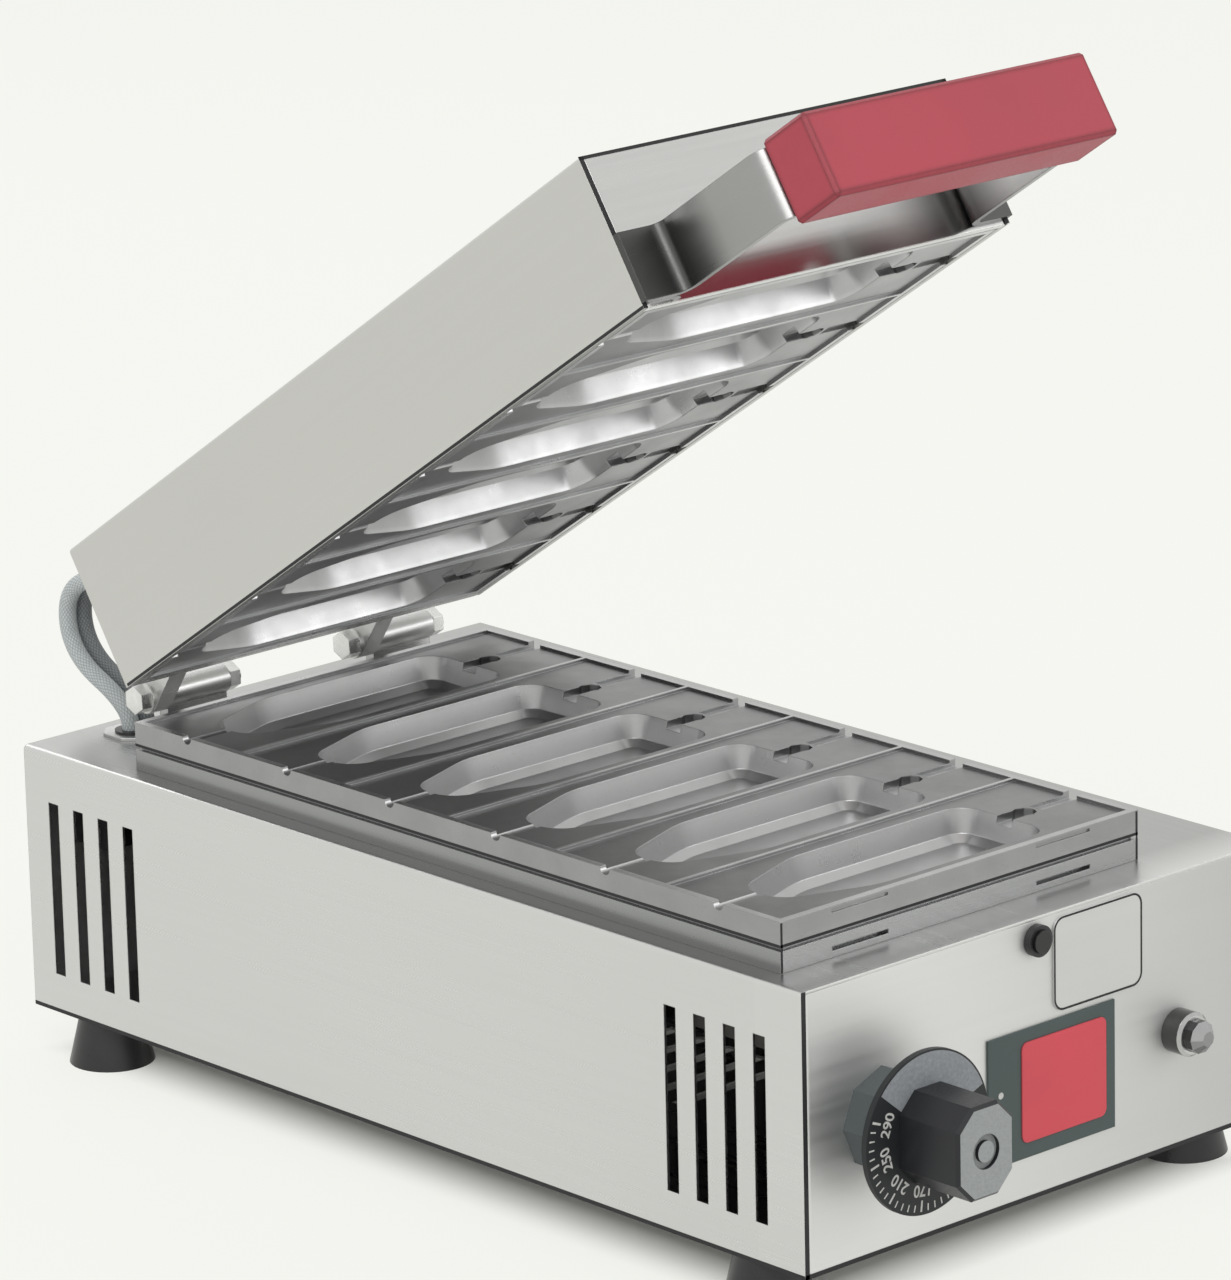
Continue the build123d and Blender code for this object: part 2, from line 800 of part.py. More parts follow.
for ear_name, start, middle in zip(ear_names, hub_start, hub_middle):
    with BuildPart() as ear:
        with BuildSketch(lid_side(start)):
            Circle(hub_diameter / 2)
            with Locations((lid_rear + ear_flange_thickness, ear_flange_lift)):
                Rectangle(sheet, ear_web_height, align=(Align.MAX, Align.MIN))
            make_hull()
            Circle(bolt_diameter / 2 + running_gap, mode=Mode.SUBTRACT)
        extrude(amount=hub_length)
        with BuildSketch(lid_wall(lid_rear, 1)):
            with Locations((mould_x - middle, ear_flange_lift)):
                Rectangle(
                    ear_flange_width, ear_flange_height, align=(Align.CENTER, Align.MIN)
                )
        extrude(amount=ear_flange_thickness)
    save(ear, ear_name)

# Hinge bolts: hexagon head with a collar, shank through hub and barrel
shank_length = hub_length + barrel_length + 2 * hinge_side_gap + hinge_nut_height + bolt_overhang
bolt_names = ("hinge_bolt_left", "hinge_bolt_right")

for bolt_name, start in zip(bolt_names, bolt_start):
    collar_start = start + bolt_head_height
    with BuildPart() as bolt:
        with BuildSketch(lid_side(start)):
            RegularPolygon(bolt_head_across / 2, 6, major_radius=False)
        extrude(amount=bolt_head_height)
        with BuildSketch(lid_side(collar_start)):
            Circle(bolt_collar_diameter / 2)
        extrude(amount=bolt_collar_thickness)
        with BuildSketch(lid_side(collar_start)):
            Circle(bolt_diameter / 2)
        extrude(amount=bolt_collar_thickness + shank_length)
    save(bolt, bolt_name)

# Hinge nuts
with BuildPart() as hinge_nuts:
    for start in barrel_start:
        with BuildSketch(lid_side(start + barrel_length + hinge_side_gap)):
            RegularPolygon(bolt_head_across / 2, 6, major_radius=False)
            Circle(bolt_diameter / 2, mode=Mode.SUBTRACT)
        extrude(amount=hinge_nut_height)
save(hinge_nuts, "hinge_nuts")

# Lid wrapper: top and long sides, with a narrow lip folded in along the lower edge.
# The lip stops short of both ends, where the end panels have their own.
lip_setback = sheet + lid_lip + seat_gap

with BuildPart() as lid_wrapper:
    with BuildSketch(lid_wall(lid_middle, -1)):
        with Locations((0, closing_gap)):
            Rectangle(mould_width, lid_height, align=(Align.CENTER, Align.MIN))
        fillet(vertices().group_by(Axis.Y)[-1], bend_radius)
        with Locations((0, closing_gap + sheet)):
            Rectangle(
                mould_width - 2 * sheet,
                lid_height - 2 * sheet,
                align=(Align.CENTER, Align.MIN),
                mode=Mode.SUBTRACT,
            )
        Rectangle(mould_width - 2 * (sheet + lid_lip), overrun, mode=Mode.SUBTRACT)
    extrude(amount=mould_length / 2, both=True)
    with BuildSketch(lid.offset(closing_gap)):
        with Locations((mould_x, lid_middle)):
            with GridLocations(0, mould_length - lip_setback, 1, 2):
                Rectangle(mould_width - 2 * sheet, lip_setback)
    extrude(amount=sheet, mode=Mode.SUBTRACT)
save(lid_wrapper, "lid_wrapper")

# Lid front and rear panels: a wall with a top flange, short side flanges above the
# mould and a narrow lip under its end. The rear one has a slot for the leads.
lid_pan_width = mould_width - 2 * (sheet + seat_gap)
lid_pan_height = lid_inside_top - closing_gap
side_flange_start = lid_mould_back + seat_gap
lead_hole_x = mould_x - lead_x
lid_panels = {
    "lid_front_panel": (lid_wall(lid_front, -1), []),
    "lid_rear_panel": (lid_wall(lid_rear, 1), [(lead_hole_x, lead_lid_height)]),
}

for panel_name, (panel_plane, gland_spots) in lid_panels.items():
    outward = Axis((0, 0, 0), panel_plane.z_dir)
    upright = Axis((0, 0, 0), lid.z_dir)
    with BuildPart() as panel:
        with BuildSketch(panel_plane):
            with Locations((0, closing_gap)):
                Rectangle(lid_pan_width, lid_pan_height, align=(Align.CENTER, Align.MIN))
        extrude(amount=-lid_pan_depth)
        fillet(panel.edges().filter_by(upright).group_by(outward)[-1], bend_radius)
        with BuildSketch(panel_plane.offset(-sheet)):
            with Locations((0, closing_gap + sheet)):
                Rectangle(
                    lid_pan_width - 2 * sheet,
                    lid_pan_height - 2 * sheet,
                    align=(Align.CENTER, Align.MIN),
                )
            with Locations((0, closing_gap + sheet)):
                Rectangle(
                    lid_pan_width,
                    side_flange_start - closing_gap - sheet,
                    align=(Align.CENTER, Align.MIN),
                )
        extrude(amount=-lid_pan_depth, mode=Mode.SUBTRACT)
        with BuildSketch(panel_plane.offset(-sheet - lid_lip)):
            with Locations((0, closing_gap)):
                Rectangle(lid_pan_width, 2 * sheet, align=(Align.CENTER, Align.MIN))
        extrude(amount=-lid_pan_depth, mode=Mode.SUBTRACT)
        if gland_spots:
            with BuildSketch(panel_plane):
                with Locations(*gland_spots):
                    SlotOverall(
                        grommet_length + 2 * running_gap, grommet_width + 2 * running_gap
                    )
            extrude(amount=-(sheet + overrun), mode=Mode.SUBTRACT)
    save(panel, panel_name)

# Lead glands: a plate with a rubber grommet, one on the deck and one on the lid's rear.
# Each is drawn on the plane of the sheet it sits on.
gland_places = {
    "base": (Plane.XY.offset(deck), lead_x, lead_deck_y),
    "lid": (lid_wall(lid_rear, 1), lead_hole_x, lead_lid_height),
}

for gland_name, (seat, gland_x, gland_y) in gland_places.items():
    with BuildPart() as gland_plate:
        with BuildSketch(seat):
            with Locations((gland_x, gland_y)):
                Rectangle(gland_plate_length, gland_plate_width)
            chamfer(vertices(), gland_plate_corner)
            with Locations((gland_x, gland_y)):
                SlotOverall(
                    grommet_length + 2 * running_gap,
                    grommet_width + 2 * running_gap,
                    mode=Mode.SUBTRACT,
                )
        extrude(amount=gland_plate_thickness)
    save(gland_plate, f"gland_plate_{gland_name}")

    with BuildPart() as grommet:
        with BuildSketch(seat.offset(-sheet)):
            with Locations((gland_x, gland_y)):
                SlotOverall(grommet_length, grommet_width)
        extrude(amount=sheet + gland_plate_thickness)
        with BuildSketch(seat.offset(gland_plate_thickness)):
            with Locations((gland_x, gland_y)):
                SlotOverall(grommet_length + 2 * grommet_lip, grommet_width + 2 * grommet_lip)
        extrude(amount=grommet_lip_height)
        with BuildSketch(seat.offset(-sheet)):
            with Locations((gland_x, gland_y)):
                with GridLocations(lead_spacing, 0, 2, 1):
                    RegularPolygon(lead_diameter / 2 + running_gap, lead_sides)
        extrude(
            amount=sheet + gland_plate_thickness + grommet_lip_height, mode=Mode.SUBTRACT
        )
    save(grommet, f"lead_grommet_{gland_name}")

# Sleeved leads: from the block in the housing up through the deck, round behind the
# lid and straight into its rear wall
lead_line_y = lead_deck_y + lead_reach
lead_out = lid_point(0, lid_rear + lead_stub, lead_lid_height)
lead_in = lid_point(0, lid_rear - sheet - lid_block_entry, lead_lid_height)

for lead_name, spot in zip(("lead_left", "lead_right"), lead_spots):
    with BuildPart() as lead:
        with BuildLine(Plane.YZ.offset(spot)):
            lead_path = FilletPolyline(
                (lead_deck_y, block_top - block_entry),
                (lead_deck_y, deck + lead_rise),
                (lead_line_y, deck + lead_low_height),
                (lead_line_y, deck + lead_high_height),
                (lead_out.Y, lead_out.Z),
                (lead_in.Y, lead_in.Z),
                radius=[lead_small_bend, lead_large_bend, lead_large_bend, lead_large_bend],
            )
        with BuildSketch(
            Plane(
                origin=(spot, lead_deck_y, block_top - block_entry),
                x_dir=(1, 0, 0),
                z_dir=(0, 0, 1),
            )
        ):
            RegularPolygon(lead_diameter / 2, lead_sides)
        sweep(path=lead_path)
    save(lead, lead_name)

# Terminal blocks behind the two glands
block_middle = block_top - block_height / 2
block_places = {
    "terminal_block_base": (
        housing_wall(rear_y - sheet, 1), -lead_x, block_middle, block_depth,
        Plane.XY.offset(block_top), lead_x, lead_deck_y, block_entry,
    ),
    "terminal_block_lid": (
        lid_wall(lid_rear - sheet, 1), lead_hole_x, lead_lid_height, lid_block_depth,
        lid_wall(lid_rear - sheet, 1), lead_hole_x, lead_lid_height, lid_block_entry,
    ),
}

for block_name, place in block_places.items():
    wall_plane, at_x, at_y, depth, entry_plane, entry_x, entry_y, entry_depth = place
    with BuildPart() as block:
        with BuildSketch(wall_plane):
            with Locations((at_x, at_y)):
                Rectangle(block_length, block_height)
        extrude(amount=-depth)
        with BuildSketch(entry_plane):
            with Locations((entry_x, entry_y)):
                with GridLocations(lead_spacing, 0, 2, 1):
                    RegularPolygon(lead_diameter / 2 + running_gap, lead_sides)
        extrude(amount=-entry_depth, mode=Mode.SUBTRACT)
    save(block, block_name)

# Handle bracket: one strip bent outwards from the lid's front, with its feet on the wall
strip_line = lid_front - bracket_strip / 2
cross_line = strip_line - bracket_reach
arm = bracket_span / 2
grip_back = cross_line - bracket_strip / 2
grip_plane = lid_wall(grip_back, -1)

with BuildPart() as handle_bracket:
    with BuildSketch(lid.offset(bracket_lift)):
        with BuildLine():
            FilletPolyline(
                (mould_x - arm - bracket_foot, strip_line),
                (mould_x - arm, strip_line),
                (mould_x - arm, cross_line),
                (mould_x + arm, cross_line),
                (mould_x + arm, strip_line),
                (mould_x + arm + bracket_foot, strip_line),
                radius=bracket_bend,
            )
        trace(line_width=bracket_strip)
    extrude(amount=bracket_height)
save(handle_bracket, "handle_bracket")

# Handle grip: a bevelled bar against the bracket's cross strip
with BuildPart() as handle_grip:
    with BuildSketch(grip_plane):
        with Locations((0, grip_height / 2 - grip_drop)):
            Rectangle(grip_length, grip_height)
    extrude(amount=grip_depth)
    chamfer(handle_grip.edges(), grip_edge)
save(handle_grip, "handle_grip")

# Thermostat: body behind the front panel, bushing through it, tabs at its back
front_plane = housing_wall(front_y, -1)
panel_back = housing_wall(front_y + sheet, -1)

with BuildPart() as thermostat_body:
    with BuildSketch(panel_back):
        with Locations((dial_x, dial_z)):
            Rectangle(body_width, body_height)
    extrude(amount=-body_depth)
    with BuildSketch(panel_back.offset(-body_depth)):
        with Locations((dial_x, dial_z)):
            with GridLocations(tab_spacing, 0, 2, 1):
                Rectangle(tab_thickness, tab_width)
    extrude(amount=-tab_length)
    with BuildSketch(panel_back):
        with Locations((dial_x, dial_z)):
            Circle(bushing_diameter / 2)
    extrude(amount=sheet + bushing_length)
    with BuildSketch(front_plane.offset(bushing_length)):
        with Locations((dial_x, dial_z)):
            Circle(shaft_diameter / 2 + running_gap)
    extrude(amount=-(bushing_length + shaft_back), mode=Mode.SUBTRACT)
save(thermostat_body, "thermostat_body")

with BuildPart() as thermostat_collar:
    with BuildSketch(front_plane):
        with Locations((dial_x, dial_z)):
            RegularPolygon(collar_across / 2, 8, major_radius=False)
    extrude(amount=collar_depth)
    chamfer(thermostat_collar.edges().group_by(Axis.Y)[0], collar_edge)
    with BuildSketch(front_plane):
        with Locations((dial_x, dial_z)):
            Circle(bushing_diameter / 2 + running_gap)
    extrude(amount=collar_depth, mode=Mode.SUBTRACT)
save(thermostat_collar, "thermostat_collar")

# Dial disc, knob grip and the shaft they turn with
disc_back = front_plane.offset(collar_depth + dial_gap)
disc_front = disc_back.offset(dial_thickness)

with BuildPart() as dial_disc:
    with BuildSketch(disc_back):
        with Locations((dial_x, dial_z)):
            Circle(dial_diameter / 2)
            Circle(shaft_diameter / 2 + running_gap, mode=Mode.SUBTRACT)
    extrude(amount=dial_thickness)
save(dial_disc, "dial_disc")

# The grip is a block with bevelled corners and a ring sunk in its end face
with BuildPart() as knob_grip:
    with BuildSketch(disc_front):
        with Locations((dial_x, dial_z)):
            Rectangle(knob_width, knob_height)
        chamfer(vertices(), knob_corner)
    extrude(amount=knob_depth)
    chamfer(knob_grip.edges().group_by(Axis.Y)[0], knob_edge)
    with BuildSketch(disc_front.offset(knob_depth)):
        with Locations((dial_x, dial_z)):
            Circle(knob_ring_outer / 2)
            Circle(knob_ring_inner / 2, mode=Mode.SUBTRACT)
    extrude(amount=-knob_ring_depth, mode=Mode.SUBTRACT)
    with BuildSketch(disc_front):
        with Locations((dial_x, dial_z)):
            Circle(shaft_diameter / 2 + running_gap)
    extrude(amount=knob_bore_depth, mode=Mode.SUBTRACT)
save(knob_grip, "knob_grip")

with BuildPart() as thermostat_shaft:
    with BuildSketch(front_plane.offset(-shaft_back)):
        with Locations((dial_x, dial_z)):
            Circle(shaft_diameter / 2)
    extrude(
        amount=shaft_back + collar_depth + dial_gap + dial_thickness + knob_bore_depth
    )
save(thermostat_shaft, "thermostat_shaft")

# Thermostat bulb, held in its groove by the clamp plate. Its capillary leaves the
# casting's front end and turns down into the thermostat's body.
bulb_z = mould_under - bulb_drop
bulb_start = mould_y - bulb_front

with BuildPart() as thermostat_bulb:
    with BuildSketch(housing_wall(bulb_start, -1)):
        with Locations((mould_x + bulb_x, bulb_z)):
            Circle(bulb_diameter / 2)
    extrude(amount=-bulb_length)
    with BuildLine(Plane.YZ.offset(mould_x + bulb_x)):
        capillary_path = FilletPolyline(
            (bulb_start, bulb_z),
            (capillary_line, bulb_z),
            (capillary_line, dial_z + body_height / 2),
            radius=capillary_bend,
        )
    with BuildSketch(capillary_path ^ 0):
        RegularPolygon(capillary_diameter / 2, 8)
    sweep(path=capillary_path)
save(thermostat_bulb, "thermostat_bulb")

# Pilot lamp: chromed bezel, clear faceted lens and a body behind the panel
with BuildPart() as pilot_bezel:
    with BuildSketch(front_plane):
        with Locations((pilot_x, pilot_z)):
            Circle(pilot_bezel_diameter / 2)
    extrude(amount=pilot_bezel_depth)
    chamfer(pilot_bezel.edges().group_by(Axis.Y)[0], pilot_bezel_edge)
    with BuildSketch(front_plane.offset(pilot_bezel_depth)):
        with Locations((pilot_x, pilot_z)):
            RegularPolygon(pilot_lens_diameter / 2 + running_gap, pilot_facets)
    extrude(amount=-pilot_lens_seat, mode=Mode.SUBTRACT)
save(pilot_bezel, "pilot_lamp_bezel")

with BuildPart() as pilot_lens:
    with BuildSketch(front_plane.offset(pilot_bezel_depth - pilot_lens_seat)):
        with Locations((pilot_x, pilot_z)):
            RegularPolygon(pilot_lens_diameter / 2, pilot_facets)
    extrude(amount=pilot_lens_seat + pilot_dome_depth)
    chamfer(pilot_lens.edges().group_by(Axis.Y)[0], pilot_dome_edge)
save(pilot_lens, "pilot_lamp_lens")

with BuildPart() as pilot_body:
    with BuildSketch(front_plane):
        with Locations((pilot_x, pilot_z)):
            Circle(pilot_body_diameter / 2)
    extrude(amount=-(sheet + pilot_body_depth))
save(pilot_body, "pilot_lamp_body")

# Small lamp: a low bezel in one piece with its body, and a dark lens
small_lens_seat = small_lamp_depth / 2

with BuildPart() as small_body:
    with BuildSketch(front_plane):
        with Locations((small_lamp_x, small_lamp_z)):
            Circle(small_lamp_diameter / 2)
    extrude(amount=small_lamp_depth)
    with BuildSketch(front_plane.offset(small_lamp_depth)):
        with Locations((small_lamp_x, small_lamp_z)):
            Circle(small_lens_diameter / 2 + running_gap)
    extrude(amount=-small_lens_seat, mode=Mode.SUBTRACT)
    with BuildSketch(front_plane):
        with Locations((small_lamp_x, small_lamp_z)):
            Circle(small_body_diameter / 2)
    extrude(amount=-(sheet + small_body_depth))
save(small_body, "small_lamp_body")

with BuildPart() as small_lens:
    with BuildSketch(front_plane.offset(small_lamp_depth - small_lens_seat)):
        with Locations((small_lamp_x, small_lamp_z)):
            Circle(small_lens_diameter / 2)
    extrude(amount=small_lens_seat + small_lens_proud)
save(small_lens, "small_lamp_lens")

# Plates on the front panel. Each: its middle, size, corner radius, lift and thickness,
# with the height and the upright size as shares of the housing's height.
plates = {
    "name_plate": (name_x, name_height_share, name_width, name_tall_share, 0, 0, name_thickness),
    "name_tile": (
        tile_x, tile_height_share, tile_width, tile_tall_share,
        tile_corner, name_thickness, tile_thickness,
    ),
    "rating_plate": (
        rating_x, rating_height_share, rating_width, rating_tall_share,
        rating_corner, 0, rating_thickness,
    ),
}

for plate_name, (at_x, high, width, tall, corner, lift, thickness) in plates.items():
    with BuildPart() as plate:
        with BuildSketch(front_plane.offset(lift)):
            with Locations((at_x, foot_height + high * housing_height)):
                Rectangle(width, tall * housing_height)
            if corner:
                fillet(vertices(), corner)
        extrude(amount=thickness)
    save(plate, plate_name)

# Mains inlet gland in the rear panel, with its nut inside
inlet_plane = housing_wall(rear_y, 1)
inlet_depth = sheet + inlet_thread_depth + inlet_flange_depth + inlet_nose_depth

with BuildPart() as inlet_gland:
    with BuildSketch(inlet_plane):
        with Locations((-inlet_x, inlet_z)):
            RegularPolygon(inlet_nose_diameter / 2, inlet_nose_sides)
    extrude(amount=inlet_flange_depth + inlet_nose_depth)
    chamfer(inlet_gland.edges().group_by(Axis.Y)[-1], inlet_nose_edge)
    with BuildSketch(inlet_plane):
        with Locations((-inlet_x, inlet_z)):
            Circle(inlet_thread_diameter / 2)
    extrude(amount=-(sheet + inlet_thread_depth))
    with BuildSketch(inlet_plane):
        with Locations((-inlet_x, inlet_z)):
            RegularPolygon(inlet_across / 2, 6, major_radius=False)
    extrude(amount=inlet_flange_depth)
    with BuildSketch(inlet_plane.offset(-sheet - inlet_thread_depth)):
        with Locations((-inlet_x, inlet_z)):
            Circle(inlet_bore / 2)
    extrude(amount=inlet_depth, mode=Mode.SUBTRACT)
save(inlet_gland, "inlet_gland")

with BuildPart() as inlet_nut:
    with BuildSketch(inlet_plane.offset(-sheet)):
        with Locations((-inlet_x, inlet_z)):
            RegularPolygon(inlet_across / 2, 6, major_radius=False)
            Circle(inlet_thread_diameter / 2 + running_gap, mode=Mode.SUBTRACT)
    extrude(amount=-inlet_nut_depth)
save(inlet_nut, "inlet_nut")
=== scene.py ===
# %% [markdown]
# # A countertop crepe maker, dressed
#
# The packed CAD model is the frame of this scene: its pieces keep their shapes and places and
# get their finishes here. What is too fine for the CAD model is added on top: the braided
# sleeves of the two leads, the screw heads, the dial's scale, the printed marks, the grip's
# thin backing and the dark gaps between folded sheets. Units are metres in the CAD model's
# own frame: the origin is on the floor under the middle of the housing, -Y is the front and
# +Z is up.

import json
import math

import bmesh
import bpy
import numpy as np
from mathutils import Matrix, Vector


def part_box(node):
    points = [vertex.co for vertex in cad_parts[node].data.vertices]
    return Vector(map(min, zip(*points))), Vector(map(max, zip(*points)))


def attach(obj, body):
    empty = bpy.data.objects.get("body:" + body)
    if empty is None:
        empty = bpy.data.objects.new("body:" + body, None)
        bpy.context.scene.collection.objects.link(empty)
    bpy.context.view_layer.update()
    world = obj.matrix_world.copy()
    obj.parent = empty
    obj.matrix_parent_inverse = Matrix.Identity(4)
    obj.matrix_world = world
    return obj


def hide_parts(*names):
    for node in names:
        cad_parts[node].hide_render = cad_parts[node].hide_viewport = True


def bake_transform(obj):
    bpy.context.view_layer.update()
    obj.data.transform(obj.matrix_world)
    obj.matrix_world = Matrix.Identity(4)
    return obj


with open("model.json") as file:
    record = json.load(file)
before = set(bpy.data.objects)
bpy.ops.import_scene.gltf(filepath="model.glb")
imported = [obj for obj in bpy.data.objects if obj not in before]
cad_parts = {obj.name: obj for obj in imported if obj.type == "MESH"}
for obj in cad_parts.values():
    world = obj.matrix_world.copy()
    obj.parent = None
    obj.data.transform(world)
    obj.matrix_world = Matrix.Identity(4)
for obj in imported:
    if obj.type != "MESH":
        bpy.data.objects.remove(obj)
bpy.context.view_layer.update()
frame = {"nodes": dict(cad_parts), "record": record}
nodes = frame["nodes"]
print("nodes in the frame:", len(nodes))

# %% [markdown]
# ## Helpers for node trees
#
# A finish is a small network of nodes. Written out with Blender's own calls, every node and
# link takes a line, and the idea gets lost. The first class below keeps the calls short for
# any node tree: it adds a node, joins two sockets, and sets a constant on the socket itself,
# where the exporter can read it.

# %% Node tree helper


class Tree:
    """A node tree with short calls to add and join nodes."""

    def __init__(self, tree):
        self.tree = tree
        self.tree.nodes.clear()

    def add(self, kind, **settings):
        """A new node with its plain settings."""
        node = self.tree.nodes.new(kind)
        for key, value in settings.items():
            setattr(node, key, value)
        return node

    def join(self, source, target):
        """A link from an output socket to an input socket."""
        self.tree.links.new(source, target)

    def put(self, target, value):
        """Give a socket a constant, or join it if the value is itself a socket."""
        if isinstance(value, bpy.types.NodeSocket):
            self.join(value, target)
        elif target.type == "RGBA":
            target.default_value = (*value, 1)
        else:
            target.default_value = value

    def ramp(self, value, low, high, start=0.0, end=1.0):
        """A number that runs from start to end as value runs from low to high."""
        node = self.add("ShaderNodeMapRange")
        self.join(value, node.inputs["Value"])
        node.inputs["From Min"].default_value = low
        node.inputs["From Max"].default_value = high
        node.inputs["To Min"].default_value = start
        node.inputs["To Max"].default_value = end
        return node.outputs["Result"]

    def math(self, operation, a, b):
        """The result of one arithmetic step."""
        node = self.add("ShaderNodeMath", operation=operation)
        self.put(node.inputs[0], a)
        self.put(node.inputs[1], b)
        return node.outputs["Value"]

    def seen_rays(self):
        """1 for camera, glossy and transmitted rays, 0 for the light that falls on things."""
        path = self.add("ShaderNodeLightPath")
        rays = self.math("MAXIMUM", path.outputs["Is Camera Ray"], path.outputs["Is Glossy Ray"])
        return self.math("MAXIMUM", rays, path.outputs["Is Transmission Ray"])


print("calls for any tree:", [name for name in vars(Tree) if not name.startswith("_")])

# %% [markdown]
# A finish needs a few calls more: noise, a colour between two others, a bump, soft edges.
# Nearly all patterns read Object coordinates, which for a CAD piece are metres in the frame,
# so a grain of 0.2 mm is 0.2 mm on every piece and stays put when a piece moves.

# %% Finish helper


class Net(Tree):
    """A material's node tree, with its shader, its output and the coordinates of its patterns."""

    def __init__(self, name):
        self.material = bpy.data.materials.new(name)
        self.material.use_nodes = True
        super().__init__(self.material.node_tree)
        self.shader = self.add("ShaderNodeBsdfPrincipled")
        self.output = self.add("ShaderNodeOutputMaterial")
        self.join(self.shader.outputs["BSDF"], self.output.inputs["Surface"])
        coordinates = self.add("ShaderNodeTexCoord")
        self.coords = coordinates.outputs["Object"]
        self.facing = coordinates.outputs["Normal"]

    def noise(self, scale, detail, rough=0.5):
        """Noise from 0 to 1. scale is one number, or three for a pattern stretched along an axis."""
        mapping = self.add("ShaderNodeMapping")
        self.join(self.coords, mapping.inputs["Vector"])
        mapping.inputs["Scale"].default_value = np.broadcast_to(scale, 3)
        node = self.add("ShaderNodeTexNoise")
        self.join(mapping.outputs["Vector"], node.inputs["Vector"])
        node.inputs["Scale"].default_value = 1.0
        node.inputs["Detail"].default_value = detail
        node.inputs["Roughness"].default_value = rough
        return node.outputs["Fac"]

    def along(self, vector, direction, origin=(0, 0, 0)):
        """How far a vector reaches from an origin along a direction."""
        away = self.add("ShaderNodeVectorMath", operation="SUBTRACT")
        self.join(vector, away.inputs[0])
        away.inputs[1].default_value = origin
        dot = self.add("ShaderNodeVectorMath", operation="DOT_PRODUCT")
        self.join(away.outputs["Vector"], dot.inputs[0])
        dot.inputs[1].default_value = direction
        return dot.outputs["Value"]

    def mix(self, share, a, b):
        """A colour between a and b."""
        node = self.add("ShaderNodeMix", data_type="RGBA")
        self.put(node.inputs["Factor"], share)
        self.put(node.inputs["A"], a)
        self.put(node.inputs["B"], b)
        return node.outputs["Result"]

    def bump(self, height, strength, distance, normal=None):
        """A normal tipped by a height, on top of another normal if one is given."""
        node = self.add("ShaderNodeBump")
        self.join(height, node.inputs["Height"])
        node.inputs["Strength"].default_value = strength
        node.inputs["Distance"].default_value = distance
        if normal is not None:
            self.join(normal, node.inputs["Normal"])
        return node.outputs["Normal"]

    def bevel(self, radius):
        """A normal that rounds the edges of the mesh by a radius."""
        node = self.add("ShaderNodeBevel", samples=4)
        node.inputs["Radius"].default_value = radius
        return node.outputs["Normal"]

    def finish(self, colour, roughness, metallic=0.0, normal=None, **others):
        """Set the shader's own sockets and hand back the material."""
        self.put(self.shader.inputs["Base Color"], colour)
        self.put(self.shader.inputs["Roughness"], roughness)
        self.put(self.shader.inputs["Metallic"], metallic)
        if normal is not None:
            self.join(normal, self.shader.inputs["Normal"])
        for key, value in others.items():
            self.put(self.shader.inputs[key], value)
        return self.material


def darker(colour, share):
    """A colour times a share."""
    return tuple(value * share for value in colour)


print("calls for a finish:", [name for name in vars(Net) if not name.startswith("_")])

# %% [markdown]
# ## The lid's own directions
#
# The lid stands open in the photograph, so its faces are tilted. Its pieces are easier to
# place as if it were closed and then turned about the hinge. Two unit vectors, one towards
# the lid's back and one up out of it, and the hinge's place are all that takes.

# %% Lid directions
hinge = np.array([0.0, 0.1837, 0.1454])
open_angle = math.radians(33.4)
lid_up = np.array([0.0, math.sin(open_angle), math.cos(open_angle)])
lid_back = np.array([0.0, math.cos(open_angle), -math.sin(open_angle)])


def lid_point(x, y, z):
    """Points of the lid, given as if the lid were closed, from the hinge axis."""
    outer = np.multiply.outer
    return hinge + outer(x, (1.0, 0.0, 0.0)) + outer(y, lid_back) + outer(z, lid_up)


print("lid stands open by", round(math.degrees(open_angle), 1), "degrees")

# %% [markdown]
# ## Brushed sheet steel
#
# The housing and the lid are folded from brushed stainless sheet. Its grain could be an
# anisotropic shader, but that needs tangents. A noise stretched some sixty times along one
# direction does the same job: it varies the tone, the roughness and a very low bump. Sides
# and tops are brushed along the machine, and faces that look to the front or back are brushed
# across it, so two noises are mixed by where a face looks. On the lid both are turned with it.
# Broad soft patches of roughness are the marks that a cloth leaves. The tops are darkened with
# a painted shade.

# %% Sheet steel
finishes = {}
grain_across, grain_along = 300, 5


